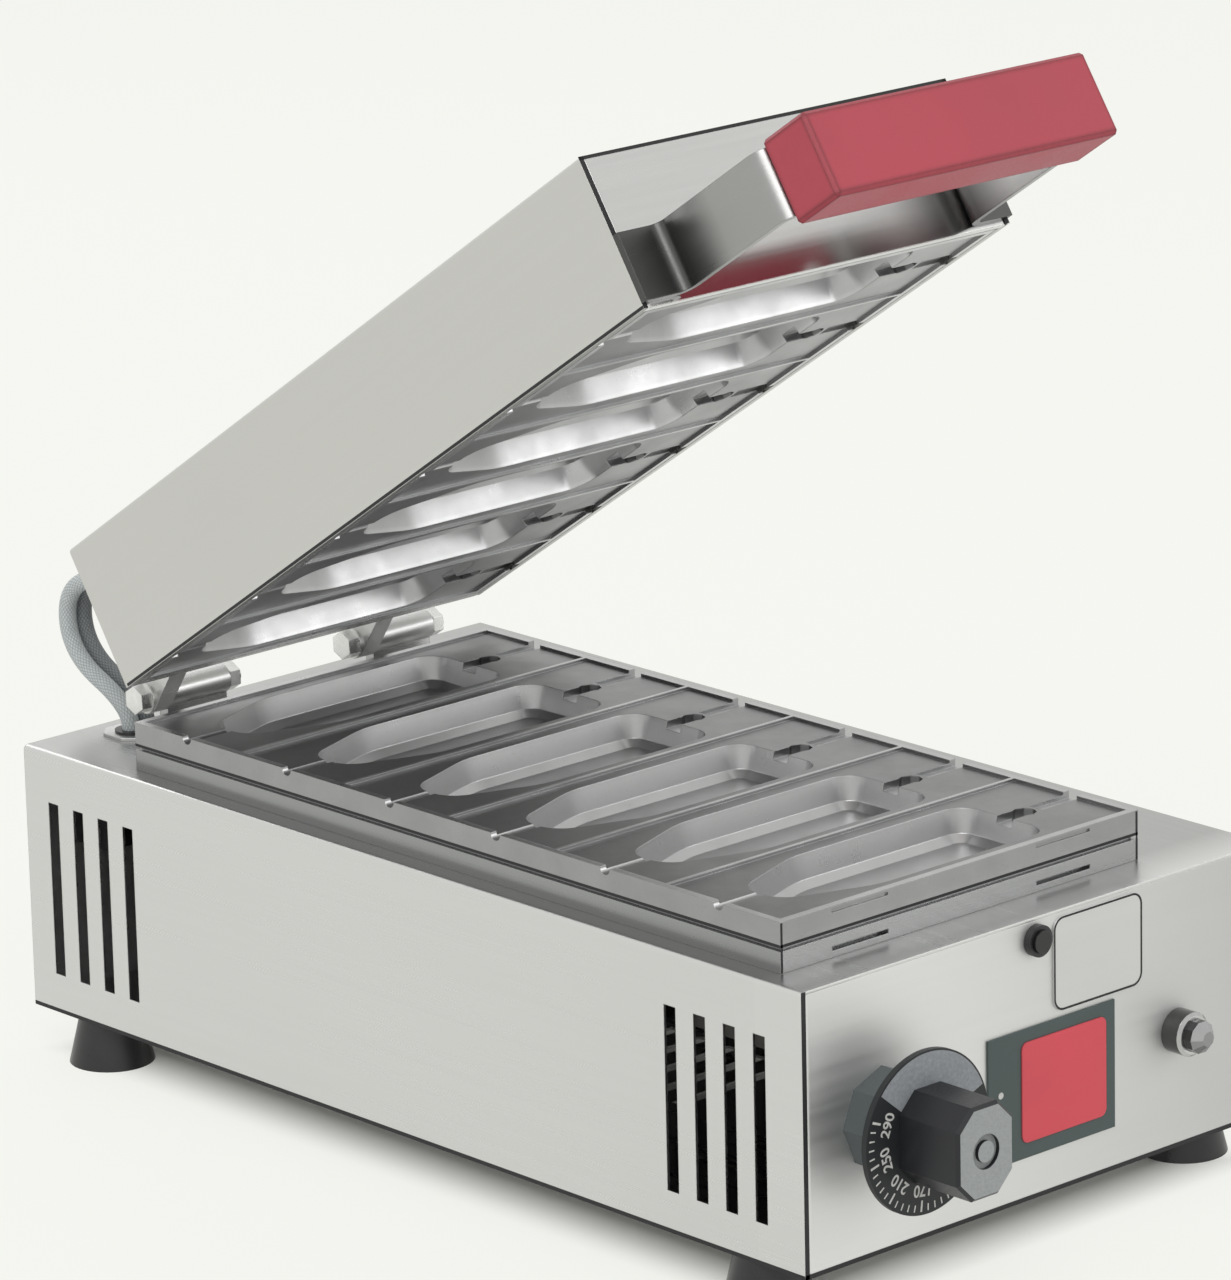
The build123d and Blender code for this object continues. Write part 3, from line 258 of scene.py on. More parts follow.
def brushed_sheet(name, colour, rough=(0.24, 0.36), top=1.0, tilt=0.0, edge=0.0006, corner=None):
    """Brushed sheet, tilted with the lid if tilt is its angle. top, a painted shade, tones its top.

    corner, if given, paints light or shade: a place, a direction, a reach and the tone at that place.
    """
    net = Net(name)
    place_in_frame = net.coords
    turned = net.add("ShaderNodeVectorRotate", rotation_type="X_AXIS")
    net.join(place_in_frame, turned.inputs["Vector"])
    turned.inputs["Angle"].default_value = tilt
    net.coords = turned.outputs["Vector"]
    rear = (0, math.cos(tilt), -math.sin(tilt))
    ahead = net.math("ABSOLUTE", net.along(net.facing, rear), 0.0)
    across = net.ramp(ahead, 0.6, 0.8)
    grain = []
    for scale in (1.0, 2.5):
        wide, long = grain_across * scale, grain_along * scale
        lengthways = net.noise((wide, long, wide), 4.0, 0.6)
        sideways = net.noise((long, wide, wide), 4.0, 0.6)
        along_part = net.math("MULTIPLY", lengthways, net.math("SUBTRACT", 1.0, across))
        grain.append(net.math("ADD", along_part, net.math("MULTIPLY", sideways, across)))
    fine, hair = grain
    broad = net.noise(6, 2.0)
    scratches = net.ramp(hair, 0.70, 0.76, 0, 0.03)
    tone = net.math("SUBTRACT", net.ramp(fine, 0.3, 0.7, 0.965, 1.0), scratches)
    # Painted shade: faces that look up are darkened to the tone top.
    above = (0, math.sin(tilt), math.cos(tilt))
    tone = net.math("MULTIPLY", tone, net.ramp(net.along(net.facing, above), 0.80, 0.95, 1.0, top))
    # Painted light or shade: the tone runs from the corner's tone at its place to 1 over the reach.
    if corner:
        place, direction, reach, painted_tone_at_place = corner
        away = net.along(place_in_frame, direction, place)
        tone = net.math("MULTIPLY", tone, net.ramp(away, 0.0, reach, painted_tone_at_place, 1.0))
    base = net.mix(tone, (0, 0, 0), colour)
    roughness = net.math(
        "ADD", net.ramp(fine, 0.3, 0.7, rough[0], rough[1]), net.ramp(broad, 0.3, 0.7, -0.04, 0.05)
    )
    return net.finish(base, roughness, 1.0, net.bump(fine, 0.10, 0.00006, net.bevel(edge)))


print("grain, waves a metre:", grain_across, "across and", grain_along, "along")

# %% [markdown]
# Each sheet piece gets its own mix of the same finish. The strip that carries the handle
# gets a painted reflection of the dark corner it springs from: its tone falls off towards the
# lid's wall. The front panel darkens gently to the right, a painted shade, and the deck's front
# margin is brighter than the rest of it, a painted light.

# %% Sheet finishes
half_width, half_length = 0.121, 0.220
strip_root = tuple(lid_point(0, -0.394, 0))
# Painted shade on the tops (top), and painted light that brightens the deck's front margin (corner).
finishes["housing_steel"] = brushed_sheet(
    "housing_steel", (0.68, 0.68, 0.672), top=0.63,
    corner=((0, -half_length, 0), (0, 1, 0), 0.024, 1.6),
)
finishes["plain_steel"] = brushed_sheet("plain_steel", (0.60, 0.60, 0.595), (0.22, 0.38))
finishes["plate_silver"] = brushed_sheet("plate_silver", (0.66, 0.66, 0.655), (0.36, 0.48))
own_finish = {
    # corner: painted shade that darkens the panel towards the right.
    "front_panel": brushed_sheet(
        "panel_steel", (0.79, 0.79, 0.785), (0.52, 0.60),
        corner=((half_width, -half_length, 0.07), (-1, 0, 0), 0.20, 0.74),
    ),
    # top: painted shade on the lid's top.
    "lid_wrapper": brushed_sheet(
        "lid_steel", (0.635, 0.632, 0.612), (0.30, 0.42), top=0.70, tilt=open_angle, edge=0.0003
    ),
    "lid_front_panel": brushed_sheet(
        "lid_front_steel", (0.61, 0.61, 0.605), (0.10, 0.16), tilt=open_angle
    ),
    "mould_frame": brushed_sheet("frame_steel", (0.33, 0.335, 0.335), (0.2, 0.32)),
    # corner: painted reflection of the dark corner, darkening the strip towards the lid's wall.
    "handle_bracket": brushed_sheet(
        "strip_steel", (0.38, 0.38, 0.375), (0.26, 0.36), tilt=open_angle,
        corner=(strip_root, tuple(-lid_back), 0.022, 0.26),
    ),
    "heat_shield": brushed_sheet("shield_steel", (0.12, 0.115, 0.11), (0.45, 0.6)),
}
own_finish["rear_panel"] = own_finish["front_panel"]
own_finish["lid_rear_panel"] = brushed_sheet("lid_rear_steel", (0.66, 0.66, 0.655), tilt=open_angle)
for inner in ("lower_clamp_plate", "upper_clamp_plate"):
    own_finish[inner] = own_finish["heat_shield"]
print("nodes with a sheet finish of their own:", len(own_finish))

# %% [markdown]
# ## Cast mould plates
#
# Each plate is one aluminium casting. Its ribs and rim are machined flat and bright, the
# shallow fields between the cavities keep the grey cast skin, and the cavities are polished
# by use. Three materials on one mesh would need the faces sorted by hand. One material can
# tell the zones apart instead, by how deep a point lies under the plate's face and by where
# the surface looks. The upper plate is tilted with the lid, so depth is measured along each
# plate's own direction.

# %% Mould plates


def cast_plate(name, origin, outward, rim, field, cavity, side):
    """Cast plate. outward is the way its face looks, and the last four are grey levels."""
    net = Net(name)
    depth = net.along(net.coords, darker(outward, -1), origin)
    level = net.along(net.facing, outward)
    mottle = net.noise(45, 5.0, 0.6)
    pores = net.noise(1100, 2.0)
    lines = net.noise((18, 520, 18), 3.0)
    in_field = net.math("MULTIPLY", net.ramp(depth, 0.0007, 0.0010), net.ramp(level, 0.7, 0.9))
    in_cavity = net.math("MULTIPLY", net.ramp(depth, 0.0022, 0.0032), net.ramp(level, 0.06, 0.16))
    side, rim, field, cavity = ((v, v * 1.005, v * 1.01) for v in (side, rim, field, cavity))
    tone = net.mix(net.ramp(level, 0.02, 0.06), side, rim)
    tone = net.mix(in_field, tone, field)
    tone = net.mix(in_cavity, tone, cavity)
    pits = net.ramp(pores, 0.66, 0.74, 0, 0.12)
    marks = net.math("SUBTRACT", net.ramp(mottle, 0.3, 0.7, 0.90, 1.0), pits)
    base = net.mix(marks, (0, 0, 0), tone)
    dull = net.ramp(in_field, 0, 1, 0.30, 0.44)
    roughness = net.math("ADD", dull, net.ramp(mottle, 0.3, 0.7, 0.06, -0.04))
    height = net.math("ADD", net.math("MULTIPLY", lines, 0.6), net.math("MULTIPLY", pores, 0.4))
    return net.finish(base, roughness, 1.0, net.bump(height, 0.18, 0.00008, net.bevel(0.0005)))


upper_origin = tuple(lid_point(0, 0, 0.0004))
own_finish["lower_mould"] = cast_plate("lower_plate", tuple(hinge), (0, 0, 1), 0.48, 0.27, 0.50, 0.36)
own_finish["upper_mould"] = cast_plate(
    "upper_plate", upper_origin, tuple(-lid_up), 0.60, 0.50, 0.54, 0.42
)
finishes["cast_aluminium"] = own_finish["lower_mould"]
print("mould plates:", [name for name in own_finish if name.endswith("mould")])

# %% [markdown]
# ## Small bright pieces and heated steel
#
# Bolts, studs and the lamp's bezel are turned or plated: smooth, with light wear in the
# roughness. The bezel's side stands close to the panel and would mirror its own shadow there,
# so it gets a painted shade: a darker tone than its front ring, told by where a face looks.
# The elements are the same steel, browned in patches by heat, so there the colour varies and
# not only the gloss.

# %% Bright and heated metal


def bright_metal(name, colour, rough, side=1.0):
    """Plated or turned small pieces. side is a painted shade: the tone of faces that don't look to the
    front.
    """
    net = Net(name)
    wear = net.noise(160, 4.0, 0.6)
    base = net.mix(net.ramp(wear, 0.35, 0.7), darker(colour, 0.82), colour)
    # Painted shade: faces that don't look to the front are darkened to the tone side.
    ahead = net.ramp(net.along(net.facing, (0, -1, 0)), 0.3, 0.8, side, 1.0)
    base = net.mix(ahead, (0, 0, 0), base)
    normal = net.bump(wear, 0.08, 0.0001, net.bevel(0.0004))
    return net.finish(base, net.ramp(wear, 0.3, 0.7, rough[0], rough[1]), 1.0, normal)


def heated_steel(name):
    """Tubular element: dull steel, browned by heat in patches."""
    net = Net(name)
    patch = net.noise(30, 4.0, 0.6)
    base = net.mix(net.ramp(patch, 0.4, 0.65), (0.20, 0.19, 0.18), (0.26, 0.19, 0.13))
    return net.finish(base, net.ramp(patch, 0.3, 0.7, 0.38, 0.6), 0.9, net.bump(patch, 0.15, 0.0002))


finishes["fasteners"] = bright_metal("fasteners", (0.86, 0.86, 0.85), (0.22, 0.34))
# The bezel's side gets a painted shade, 0.20 of its colour.
finishes["chrome_trim"] = bright_metal("chrome_trim", (0.62, 0.62, 0.62), (0.06, 0.12), side=0.20)
finishes["element_steel"] = heated_steel("element_steel")
print("finishes after the metals:", len(finishes))

# %% [markdown]
# ## Moulded plastic
#
# The grip, the knob and the plates are moulded, with a fine spark-eroded grain that takes
# the edge off their gloss. A clear coat would whiten the red under a white sky, so the
# shader's specular level is lowered instead, which keeps the colour deep. The grip's edges
# are a little soiled from hands: where the Bevel node's rounded normal parts from the true
# one, an edge is near, and the colour darkens. The knob's end face is a grey insert: the CAD
# knob is one solid, so the insert is told from the body by how far forward a point lies.

# %% Moulded plastic
moulded_grain = 900


def moulded(name, colour, rough, gloss=0.5, soil=0.0):
    """Moulded plastic with a fine grain and slightly uneven gloss. soil darkens its edges."""
    net = Net(name)
    fine = net.noise(moulded_grain, 3.0, 0.6)
    broad = net.noise(22, 3.0)
    base = net.mix(net.ramp(broad, 0.3, 0.7), darker(colour, 0.90), colour)
    if soil:
        rounded = net.add("ShaderNodeVectorMath", operation="DOT_PRODUCT")
        net.join(net.bevel(0.0028), rounded.inputs[0])
        net.join(net.add("ShaderNodeNewGeometry").outputs["Normal"], rounded.inputs[1])
        edge = net.ramp(rounded.outputs["Value"], 0.90, 0.995, soil, 0.0)
        base = net.mix(edge, base, (0.03, 0.01, 0.01))
    roughness = net.math(
        "ADD", net.ramp(broad, 0.3, 0.7, rough[0], rough[1]), net.ramp(fine, 0.4, 0.6, -0.03, 0.03)
    )
    normal = net.bump(fine, 0.25, 0.00006, net.bevel(0.0005))
    return net.finish(base, roughness, 0.0, normal, **{"Specular IOR Level": gloss})


def two_tone_knob(name, body, insert, front):
    """Moulded knob whose end face, forward of front, is a lighter insert."""
    net = Net(name)
    fine = net.noise(moulded_grain, 3.0, 0.6)
    ahead = net.along(net.coords, (0, -1, 0), (0, front, 0))
    level = net.along(net.facing, (0, -1, 0))
    on_face = net.math("MULTIPLY", net.ramp(ahead, 0, 0.0001), net.ramp(level, 0.9, 0.97))
    worn = net.ramp(fine, 0.35, 0.7, 0.85, 1.0)
    base = net.mix(worn, (0, 0, 0), net.mix(on_face, body, insert))
    normal = net.bump(fine, 0.2, 0.00005, net.bevel(0.0004))
    return net.finish(
        base, net.ramp(fine, 0.4, 0.6, 0.34, 0.42), 0.0, normal, **{"Specular IOR Level": 0.35}
    )


print("moulded grain, waves a metre:", moulded_grain)

# %% [markdown]
# ## Rubber and board
#
# The feet and the leads' grommets are rubber, on which a little dust settles. The boards
# behind the elements are pressed mineral fibre, pale and without gloss.

# %% Rubber, board and the list of mouldings


def rubber(name, colour):
    """Moulded rubber: dark, a little dusty, with a low sheen."""
    net = Net(name)
    dust = net.noise(60, 5.0, 0.6)
    base = net.mix(net.ramp(dust, 0.45, 0.8, 0.0, 0.5), colour, darker(colour, 2.2))
    return net.finish(base, net.ramp(dust, 0.3, 0.7, 0.24, 0.42), 0.0, net.bump(dust, 0.15, 0.0002))


def pressed_board(name):
    """Pressed mineral fibre board."""
    net = Net(name)
    fibre = net.noise((260, 260, 900), 6.0, 0.7)
    base = net.mix(fibre, (0.66, 0.62, 0.52), (0.84, 0.82, 0.76))
    return net.finish(base, 0.9, 0.0, net.bump(fibre, 0.5, 0.0006))


knob_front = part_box("knob_grip")[0].y + 0.0018
finishes.update(
    {
        "handle_red": moulded("handle_red", (0.47, 0.068, 0.094), (0.40, 0.52), gloss=0.32, soil=0.7),
        "dial_black": moulded("dial_black", (0.020, 0.022, 0.024), (0.42, 0.54), gloss=0.35),
        "knob_dark": two_tone_knob("knob_dark", (0.020, 0.021, 0.024), (0.36, 0.38, 0.385), knob_front),
        "collar_grey": moulded("collar_grey", (0.085, 0.100, 0.104), (0.38, 0.5), gloss=0.4),
        "moulded_black": moulded("moulded_black", (0.020, 0.020, 0.022), (0.36, 0.5)),
        "lens_dark": moulded("lens_dark", (0.012, 0.011, 0.012), (0.07, 0.14)),
        "plate_green_grey": moulded("plate_green_grey", (0.072, 0.098, 0.095), (0.4, 0.5), gloss=0.35),
        "tile_red": moulded("tile_red", (0.72, 0.082, 0.108), (0.38, 0.48), gloss=0.35),
        "rubber_black": rubber("rubber_black", (0.018, 0.018, 0.019)),
        "insulation_board": pressed_board("insulation_board"),
    }
)
print("finishes so far:", len(finishes))

# %% [markdown]
# ## Braided sleeve and lens
#
# A lead's sleeve is woven from two sets of strands wound at opposite slants. The weave has
# to follow the lead round its bends, so it reads the tube's own UV map: metres along, turns
# round. There are two slanted waves, one per set: the higher of them is the height, and
# their product is the shade. The right lead's darker colours are painted shade, as it lies in
# shade behind the left one. The lamp's lens is cut in facets, each of which mirrors something
# else. That is painted: a noise read along the surface's direction has one value on a flat
# facet, so it gives each facet its own tone of painted reflection, and facets that look away
# from the front are darkened with painted shade.

# %% Sleeve and lens
strands_per_metre, strands_round = 420.0, 16.0


def braid(name, light, dark):
    """Woven sleeve that follows the UV map along_round: metres along and turns round."""
    net = Net(name)
    uv = net.add("ShaderNodeUVMap", uv_map="along_round").outputs["UV"]
    split = net.add("ShaderNodeSeparateXYZ")
    net.join(uv, split.inputs[0])
    along = net.math("MULTIPLY", split.outputs["X"], strands_per_metre)
    turns = net.math("MULTIPLY", split.outputs["Y"], strands_round)
    strands = []
    for operation in ("ADD", "SUBTRACT"):
        wave = net.math("SINE", net.math("MULTIPLY", net.math(operation, along, turns), math.pi), 0.0)
        strands.append(net.math("ABSOLUTE", wave, 0.0))
    height = net.math("MAXIMUM", strands[0], strands[1])
    weave = net.math("MULTIPLY", strands[0], strands[1])
    fuzz = net.noise(1500, 3.0, 0.6)
    shade = net.math("ADD", net.ramp(weave, 0, 1, 0.1, 0.8), net.ramp(fuzz, 0.3, 0.7, -0.1, 0.2))
    base = net.mix(shade, dark, light)
    return net.finish(base, net.ramp(fuzz, 0.3, 0.7, 0.55, 0.75), 0.0, net.bump(height, 0.6, 0.0003))


def clear_lens(name, colour):
    """Clear cut lens with faint moulding ripples, a painted reflection tone per facet and painted
    shade.
    """
    net = Net(name)
    ripple = net.noise(300, 2.0)
    net.coords = net.facing
    # Painted reflection: each flat facet gets a tone of its own.
    painted_facet_reflection = net.ramp(net.noise(5, 1.0), 0.42, 0.58)
    base = net.mix(painted_facet_reflection, darker(colour, 0.30), colour)
    # Painted shade: facets that look away from the front are darkened.
    ahead = net.ramp(net.along(net.facing, (0, -1, 0)), 0.1, 0.6, 0.15, 1.0)
    base = net.mix(ahead, (0, 0, 0), base)
    return net.finish(
        base, net.ramp(ripple, 0.3, 0.7, 0.05, 0.11), 0.0, net.bump(ripple, 0.1, 0.0002),
        **{"Transmission Weight": 0.5, "IOR": 1.49},
    )


finishes["lead_sleeve_light"] = braid("lead_sleeve_light", (0.72, 0.77, 0.78), (0.34, 0.37, 0.375))
# The right lead's sleeve has darker colours than the left's: painted shade, as it lies in shade behind
# the left one.
finishes["lead_sleeve_dark"] = braid("lead_sleeve_dark", (0.34, 0.36, 0.37), (0.12, 0.13, 0.135))
finishes["lens_clear"] = clear_lens("lens_clear", (0.85, 0.86, 0.86))
print("finishes:", sorted(finishes))

# %% [markdown]
# ## Give each CAD piece its finish
#
# The packed record names a material slot for each node. Most nodes take their slot's finish,
# and a few that need their own, such as the two mould plates, are listed by node above.

# %% Hand out the finishes
for piece in frame["record"]["subparts"]:
    mesh = nodes[piece["node"]].data
    mesh.materials.clear()
    mesh.materials.append(own_finish.get(piece["node"], finishes[piece["material_slot"]]))

# %% [markdown]
# ## Meshes from grids of points
#
# Every new piece below, but for the dial's numbers, is a surface over two parameters: rows
# along it and columns round or across it. Its points are one numpy array. One function turns
# such a grid into a mesh, closes it round if asked, and merges points that fall together at
# a pole.

# %% Grid to mesh


def add_object(name, data):
    """A new object in the scene."""
    thing = bpy.data.objects.new(name, data)
    bpy.context.scene.collection.objects.link(thing)
    return thing


def grid_mesh(name, points, closed_round, material, uv=None, poles=False):
    """A mesh from a grid of points, shape (rows, columns, 3), with quads between neighbours.

    closed_round joins the last column to the first. uv, if given, holds two numbers per point.
    """
    rows, columns = points.shape[:2]
    spans = columns if closed_round else columns - 1
    i, j = np.meshgrid(np.arange(rows - 1), np.arange(spans), indexing="ij")
    k = (j + 1) % columns
    quads = np.stack(
        [i * columns + j, i * columns + k, (i + 1) * columns + k, (i + 1) * columns + j], -1
    ).reshape(-1, 4)
    mesh = bpy.data.meshes.new(name)
    mesh.from_pydata(points.reshape(-1, 3).tolist(), [], quads.tolist())
    if uv is not None:
        layer = mesh.uv_layers.new(name="along_round")
        corner_uv = uv.reshape(-1, 2)[quads.reshape(-1)].reshape(-1, 4, 2).copy()
        if closed_round:
            wraps = j.reshape(-1) == columns - 1
            corner_uv[wraps, 1, 1] = corner_uv[wraps, 2, 1] = 1.0
        layer.data.foreach_set("uv", corner_uv.reshape(-1).astype(np.float32))
    if poles:
        merged = bmesh.new()
        merged.from_mesh(mesh)
        bmesh.ops.remove_doubles(merged, verts=merged.verts, dist=1e-7)
        merged.to_mesh(mesh)
        merged.free()
    mesh.polygons.foreach_set("use_smooth", np.ones(len(mesh.polygons), bool))
    mesh.materials.append(material)
    mesh.update()
    return add_object(name, mesh)


print("meshes before the new pieces:", len(bpy.data.meshes))

# %% [markdown]
# ## Sleeved leads
#
# Two sleeved leads carry the current to the lid. Each rises straight out of its gland on the
# deck, swings out behind the hinge and goes straight into the lid's rear wall. Straight runs
# joined by arcs would look like bent wire, so the line is a quadratic NURBS spline: it
# touches the middle of each run between its control points and rounds every corner. The
# tube is swept along it.

# %% Spline and tube
steps_per_run, lead_sides = 14, 28


def curve_mesh(curve):
    """The mesh that Blender makes of a curve or a text."""
    holder = add_object(curve.name, curve)
    bpy.context.view_layer.update()
    mesh = bpy.data.meshes.new_from_object(holder)
    bpy.data.objects.remove(holder)
    return mesh


def spline_line(name, corners):
    """Points along a quadratic NURBS spline with the given control points."""
    curve = bpy.data.curves.new(name, "CURVE")
    curve.dimensions = "3D"
    curve.resolution_u = steps_per_run
    spline = curve.splines.new("NURBS")
    spline.points.add(len(corners) - 1)
    control = np.column_stack([np.array(corners, float), np.ones(len(corners))])
    spline.points.foreach_set("co", control.reshape(-1))
    spline.order_u = 3
    spline.use_endpoint_u = True
    mesh = curve_mesh(curve)
    line = np.empty(len(mesh.vertices) * 3)
    mesh.vertices.foreach_get("co", line)
    return line.reshape(-1, 3)


def tube(name, line, radius, material):
    """Round tube: point(i, w) = line(i) + radius * (cos w * across + sin w * up(i)).

    w runs once round in even steps, across is the X axis and up is square to it and the line.
    """
    along = np.gradient(line, axis=0)
    along /= np.linalg.norm(along, axis=1)[:, None]
    across = np.array([1.0, 0.0, 0.0])
    up = np.cross(along, across)
    w = np.linspace(0, 2 * math.pi, lead_sides, endpoint=False)
    ring = np.cos(w)[None, :, None] * across + np.sin(w)[None, :, None] * up[:, None, :]
    length = np.concatenate([[0], np.cumsum(np.linalg.norm(np.diff(line, axis=0), axis=1))])
    uv = np.stack(np.broadcast_arrays(length[:, None], (w / (2 * math.pi))[None, :]), -1)
    return grid_mesh(name, line[:, None, :] + radius * ring, True, material, uv)


print("a lead has", lead_sides, "sides and", steps_per_run, "steps a run")

# %% [markdown] The route's points were placed to follow the bow that the photograph shows
# behind the lid.

# %% Leads
deck = 0.126
gland_y, outer_y = 0.201, 0.2385
lid_lead_level = 0.046
lead_radius = 0.0035
# The right lead takes the darker sleeve colours, a painted shade.
for side, slot_name in (("left", "lead_sleeve_light"), ("right", "lead_sleeve_dark")):
    low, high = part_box(f"lead_{side}")
    x = (low.x + high.x) / 2
    corners = [
        (x, gland_y, deck - 0.029),
        (x, gland_y, deck - 0.005),
        (x, gland_y, deck + 0.011),
        (x, outer_y, deck + 0.0262),
        (x, outer_y, deck + 0.056),
        lid_point(x, -0.0119, lid_lead_level),
        lid_point(x, -0.0299, lid_lead_level),
        lid_point(x, -0.0306, lid_lead_level),
    ]
    line = spline_line(f"lead_line_{side}", corners)
    lead = tube(f"lead_sleeve_{side}", line, lead_radius, finishes[slot_name])
    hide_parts(f"lead_{side}")
    lead_top = tuple(lid_point(x, -0.018, lid_lead_level))
    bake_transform(lead)
    steps = np.linalg.norm(np.diff(line, axis=0), axis=1)
    print("lead", side, "millimetres long:", round(1000 * steps.sum()))

# %% [markdown]
# ## Screw heads
#
# The sheet parts are held by small pan-head screws. Their threads are hidden, so each is
# only a head: a low dome turned about its axis, with a cross pressed into it. The dome is a
# profile in the radius, and the cross lowers it where the point lies in one of two bars. A
# head keeps to a few hundred faces, because there are twenty of them.

# %% Pan head
head_radius, head_height = 0.0038, 0.0024


def pan_head(name, place, facing, body):
    """Pan head: height h(r) = 0.45 + 0.55 * sqrt(1 - r^2) of its own height, less a cross.

    r runs from 1 at the rim to 0 at the middle and w once round the axis. The first row is
    the foot of the rim, on the surface that carries the head.
    """
    facing = Vector(facing).normalized()
    across = facing.orthogonal().normalized()
    up = facing.cross(across)
    r = np.concatenate([[1.0, 1.0, 0.97, 0.92], np.linspace(0.84, 0.0, 12)])[:, None]
    w = np.linspace(0, 2 * math.pi, 32, endpoint=False)[None, :]
    a, b = r * np.cos(w), r * np.sin(w)
    dome = 0.45 + 0.55 * np.sqrt(1 - np.minimum(r, 0.999) ** 2) + 0 * w
    dome[0] = 0.0
    narrow = np.clip((0.19 - np.abs([a, b])) / 0.08, 0, 1)
    short = np.clip((0.60 - np.abs([b, a])) / 0.10, 0, 1)
    lift = head_height * (dome - 0.55 * (narrow * short).max(axis=0))
    points = (
        np.array(place)
        + head_radius * a[..., None] * np.array(across)
        + head_radius * b[..., None] * np.array(up)
        + lift[..., None] * np.array(facing)
    )
    head = grid_mesh(name, points, True, finishes["fasteners"], poles=True)
    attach(head, body)


print("screw heads, millimetres across:", 2000 * head_radius)

# %% [markdown]
# Four screws hold the two hinge brackets to the deck, and four hold the ears to the lid. Each
# terminal block has two, the grip has two, and six hold the bottom plate.

# %% Screws
rearward = tuple(lid_back)
housing_floor, block_level = 0.0185, 0.094
bracket_y, bracket_top = 0.1742, 0.129
lid_rear, ear_rear, ear_level = -0.0229, -0.0199, 0.013
strip_inside, backing, grip_level = -0.4464, 0.0012, 0.01565
screws = []
for x in (-0.0727, -0.0547, 0.0341, 0.0521):
    screws.append(("bracket_screw", (x, bracket_y, bracket_top), (0, 0, 1), "base"))
for x in (-0.09375, -0.07275, 0.01305, 0.03405):
    screws.append(("ear_screw", lid_point(x, ear_rear, ear_level), rearward, "lid"))
for x in (-0.0985, -0.0575):
    screws.append(("block_screw", (x, half_length, block_level), (0, 1, 0), "base"))
    screws.append(("lid_block_screw", lid_point(x, lid_rear, lid_lead_level), rearward, "lid"))
for x in (-0.0682, 0.0278):
    screws.append(("grip_screw", lid_point(x, strip_inside + backing, grip_level), rearward, "lid"))
for x in (-0.1005, 0.1005):
    for y in (-0.150, 0.0, 0.150):
        screws.append(("floor_screw", (x, y, housing_floor), (0, 0, -1), "base"))
for index, (kind, place, facing, body) in enumerate(screws):
    pan_head(f"{kind}_{index}", place, facing, body)
print("screw heads:", len(screws))

# %% [markdown]
# ## Dial scale
#
# The scale is white print on the black disc, with short ticks and plain numbers, and the top
# of the disc carries a blank silver sector. A texture could paint it, but a print has an
# edge and a place that can be measured, so each mark is a thin patch of its own: a piece of
# a ring given by two radii and two angles.

# %% Ink and places on the dial


def print_ink(name, colour, rough):
    """Screen-printed ink with faint wear."""
    net = Net(name)
    wear = net.noise(700, 4.0, 0.6)
    base = net.mix(net.ramp(wear, 0.35, 0.75), darker(colour, 0.75), colour)
    return net.finish(
        base, net.ramp(wear, 0.3, 0.7, rough, rough + 0.15), 0.0, **{"Specular IOR Level": 0.3}
    )


white_ink = print_ink("white_ink", (0.72, 0.72, 0.70), 0.45)
silver_ink = print_ink("silver_ink", (0.34, 0.36, 0.385), 0.35)
# Dark ink for the rating plate's printed line; the same material is the painted shadow of the strips
# over the gaps.
dark_ink_and_painted_shadow = print_ink("dark_ink_and_painted_shadow", (0.030, 0.031, 0.032), 0.5)

low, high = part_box("dial_disc")
skin = 0.00008
dial_centre = ((low.x + high.x) / 2, low.y - skin, (low.z + high.z) / 2)


def round_point(centre, radius, angle):
    """Points round a centre, the angle in radians clockwise from the top, seen from the front."""
    x = centre[0] + radius * np.sin(angle)
    z = centre[2] + radius * np.cos(angle)
    return np.stack([x, np.full(np.shape(x), centre[1]), z], -1)


def dial_patch(name, inner, outer, start, end, material, steps=2):
    """Part of a ring on the disc: the grid of radii inner to outer and angles start to end."""
    radii = np.linspace(inner, outer, 2)[:, None]
    angles = np.linspace(start, end, steps)[None, :]
    patch = grid_mesh(name, round_point(dial_centre, radii, angles), False, material)
    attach(patch, "knob")


print("dial's front middle:", np.round(dial_centre, 4))

# %% [markdown]
# Every fifth tick is longer and wider and has a number. The numbers are text, made into a
# mesh before they are turned into place. All of the scale rides on the knob.

# %% Ticks and numbers
dial_patch("dial_blank", 0.0158, 0.0298, math.radians(-50), math.radians(68), silver_ink, 48)
first_tick, tick_step, tick_count, ticks_per_number = 84, 6.9, 31, 5
tick_outer, tick_middle, number_radius = 0.0292, 0.028, 0.0211
for index in range(tick_count):
    angle = math.radians(first_tick + index * tick_step)
    major = index % ticks_per_number == 0
    half_turn = (0.00045 if major else 0.0003) / tick_middle
    inner = 0.0250 if major else 0.0266
    dial_patch(
        f"dial_tick_{index}", inner, tick_outer, angle - half_turn, angle + half_turn, white_ink
    )

numbers = ("50", "90", "130", "170", "210", "250", "290")
for index, number in enumerate(numbers):
    angle = math.radians(first_tick + index * ticks_per_number * tick_step)
    curve = bpy.data.curves.new(f"dial_number_{number}", "FONT")
    curve.body = number
    curve.size = 0.0062
    curve.offset = 0.00012
    curve.align_x = "CENTER"
    curve.align_y = "CENTER"
    mesh = curve_mesh(curve)
    upright = Matrix.Rotation(math.radians(90), 4, "X")
    spin = Matrix.Rotation(angle, 4, "Y")
    place = Matrix.Translation(round_point(dial_centre, number_radius, angle).tolist())
    mesh.transform(place @ spin @ upright)
    mesh.materials.clear()
    mesh.materials.append(white_ink)
    label = add_object(curve.name, mesh)
    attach(label, "knob")
print("dial marks:", tick_count, "ticks and", len(numbers), "numbers")

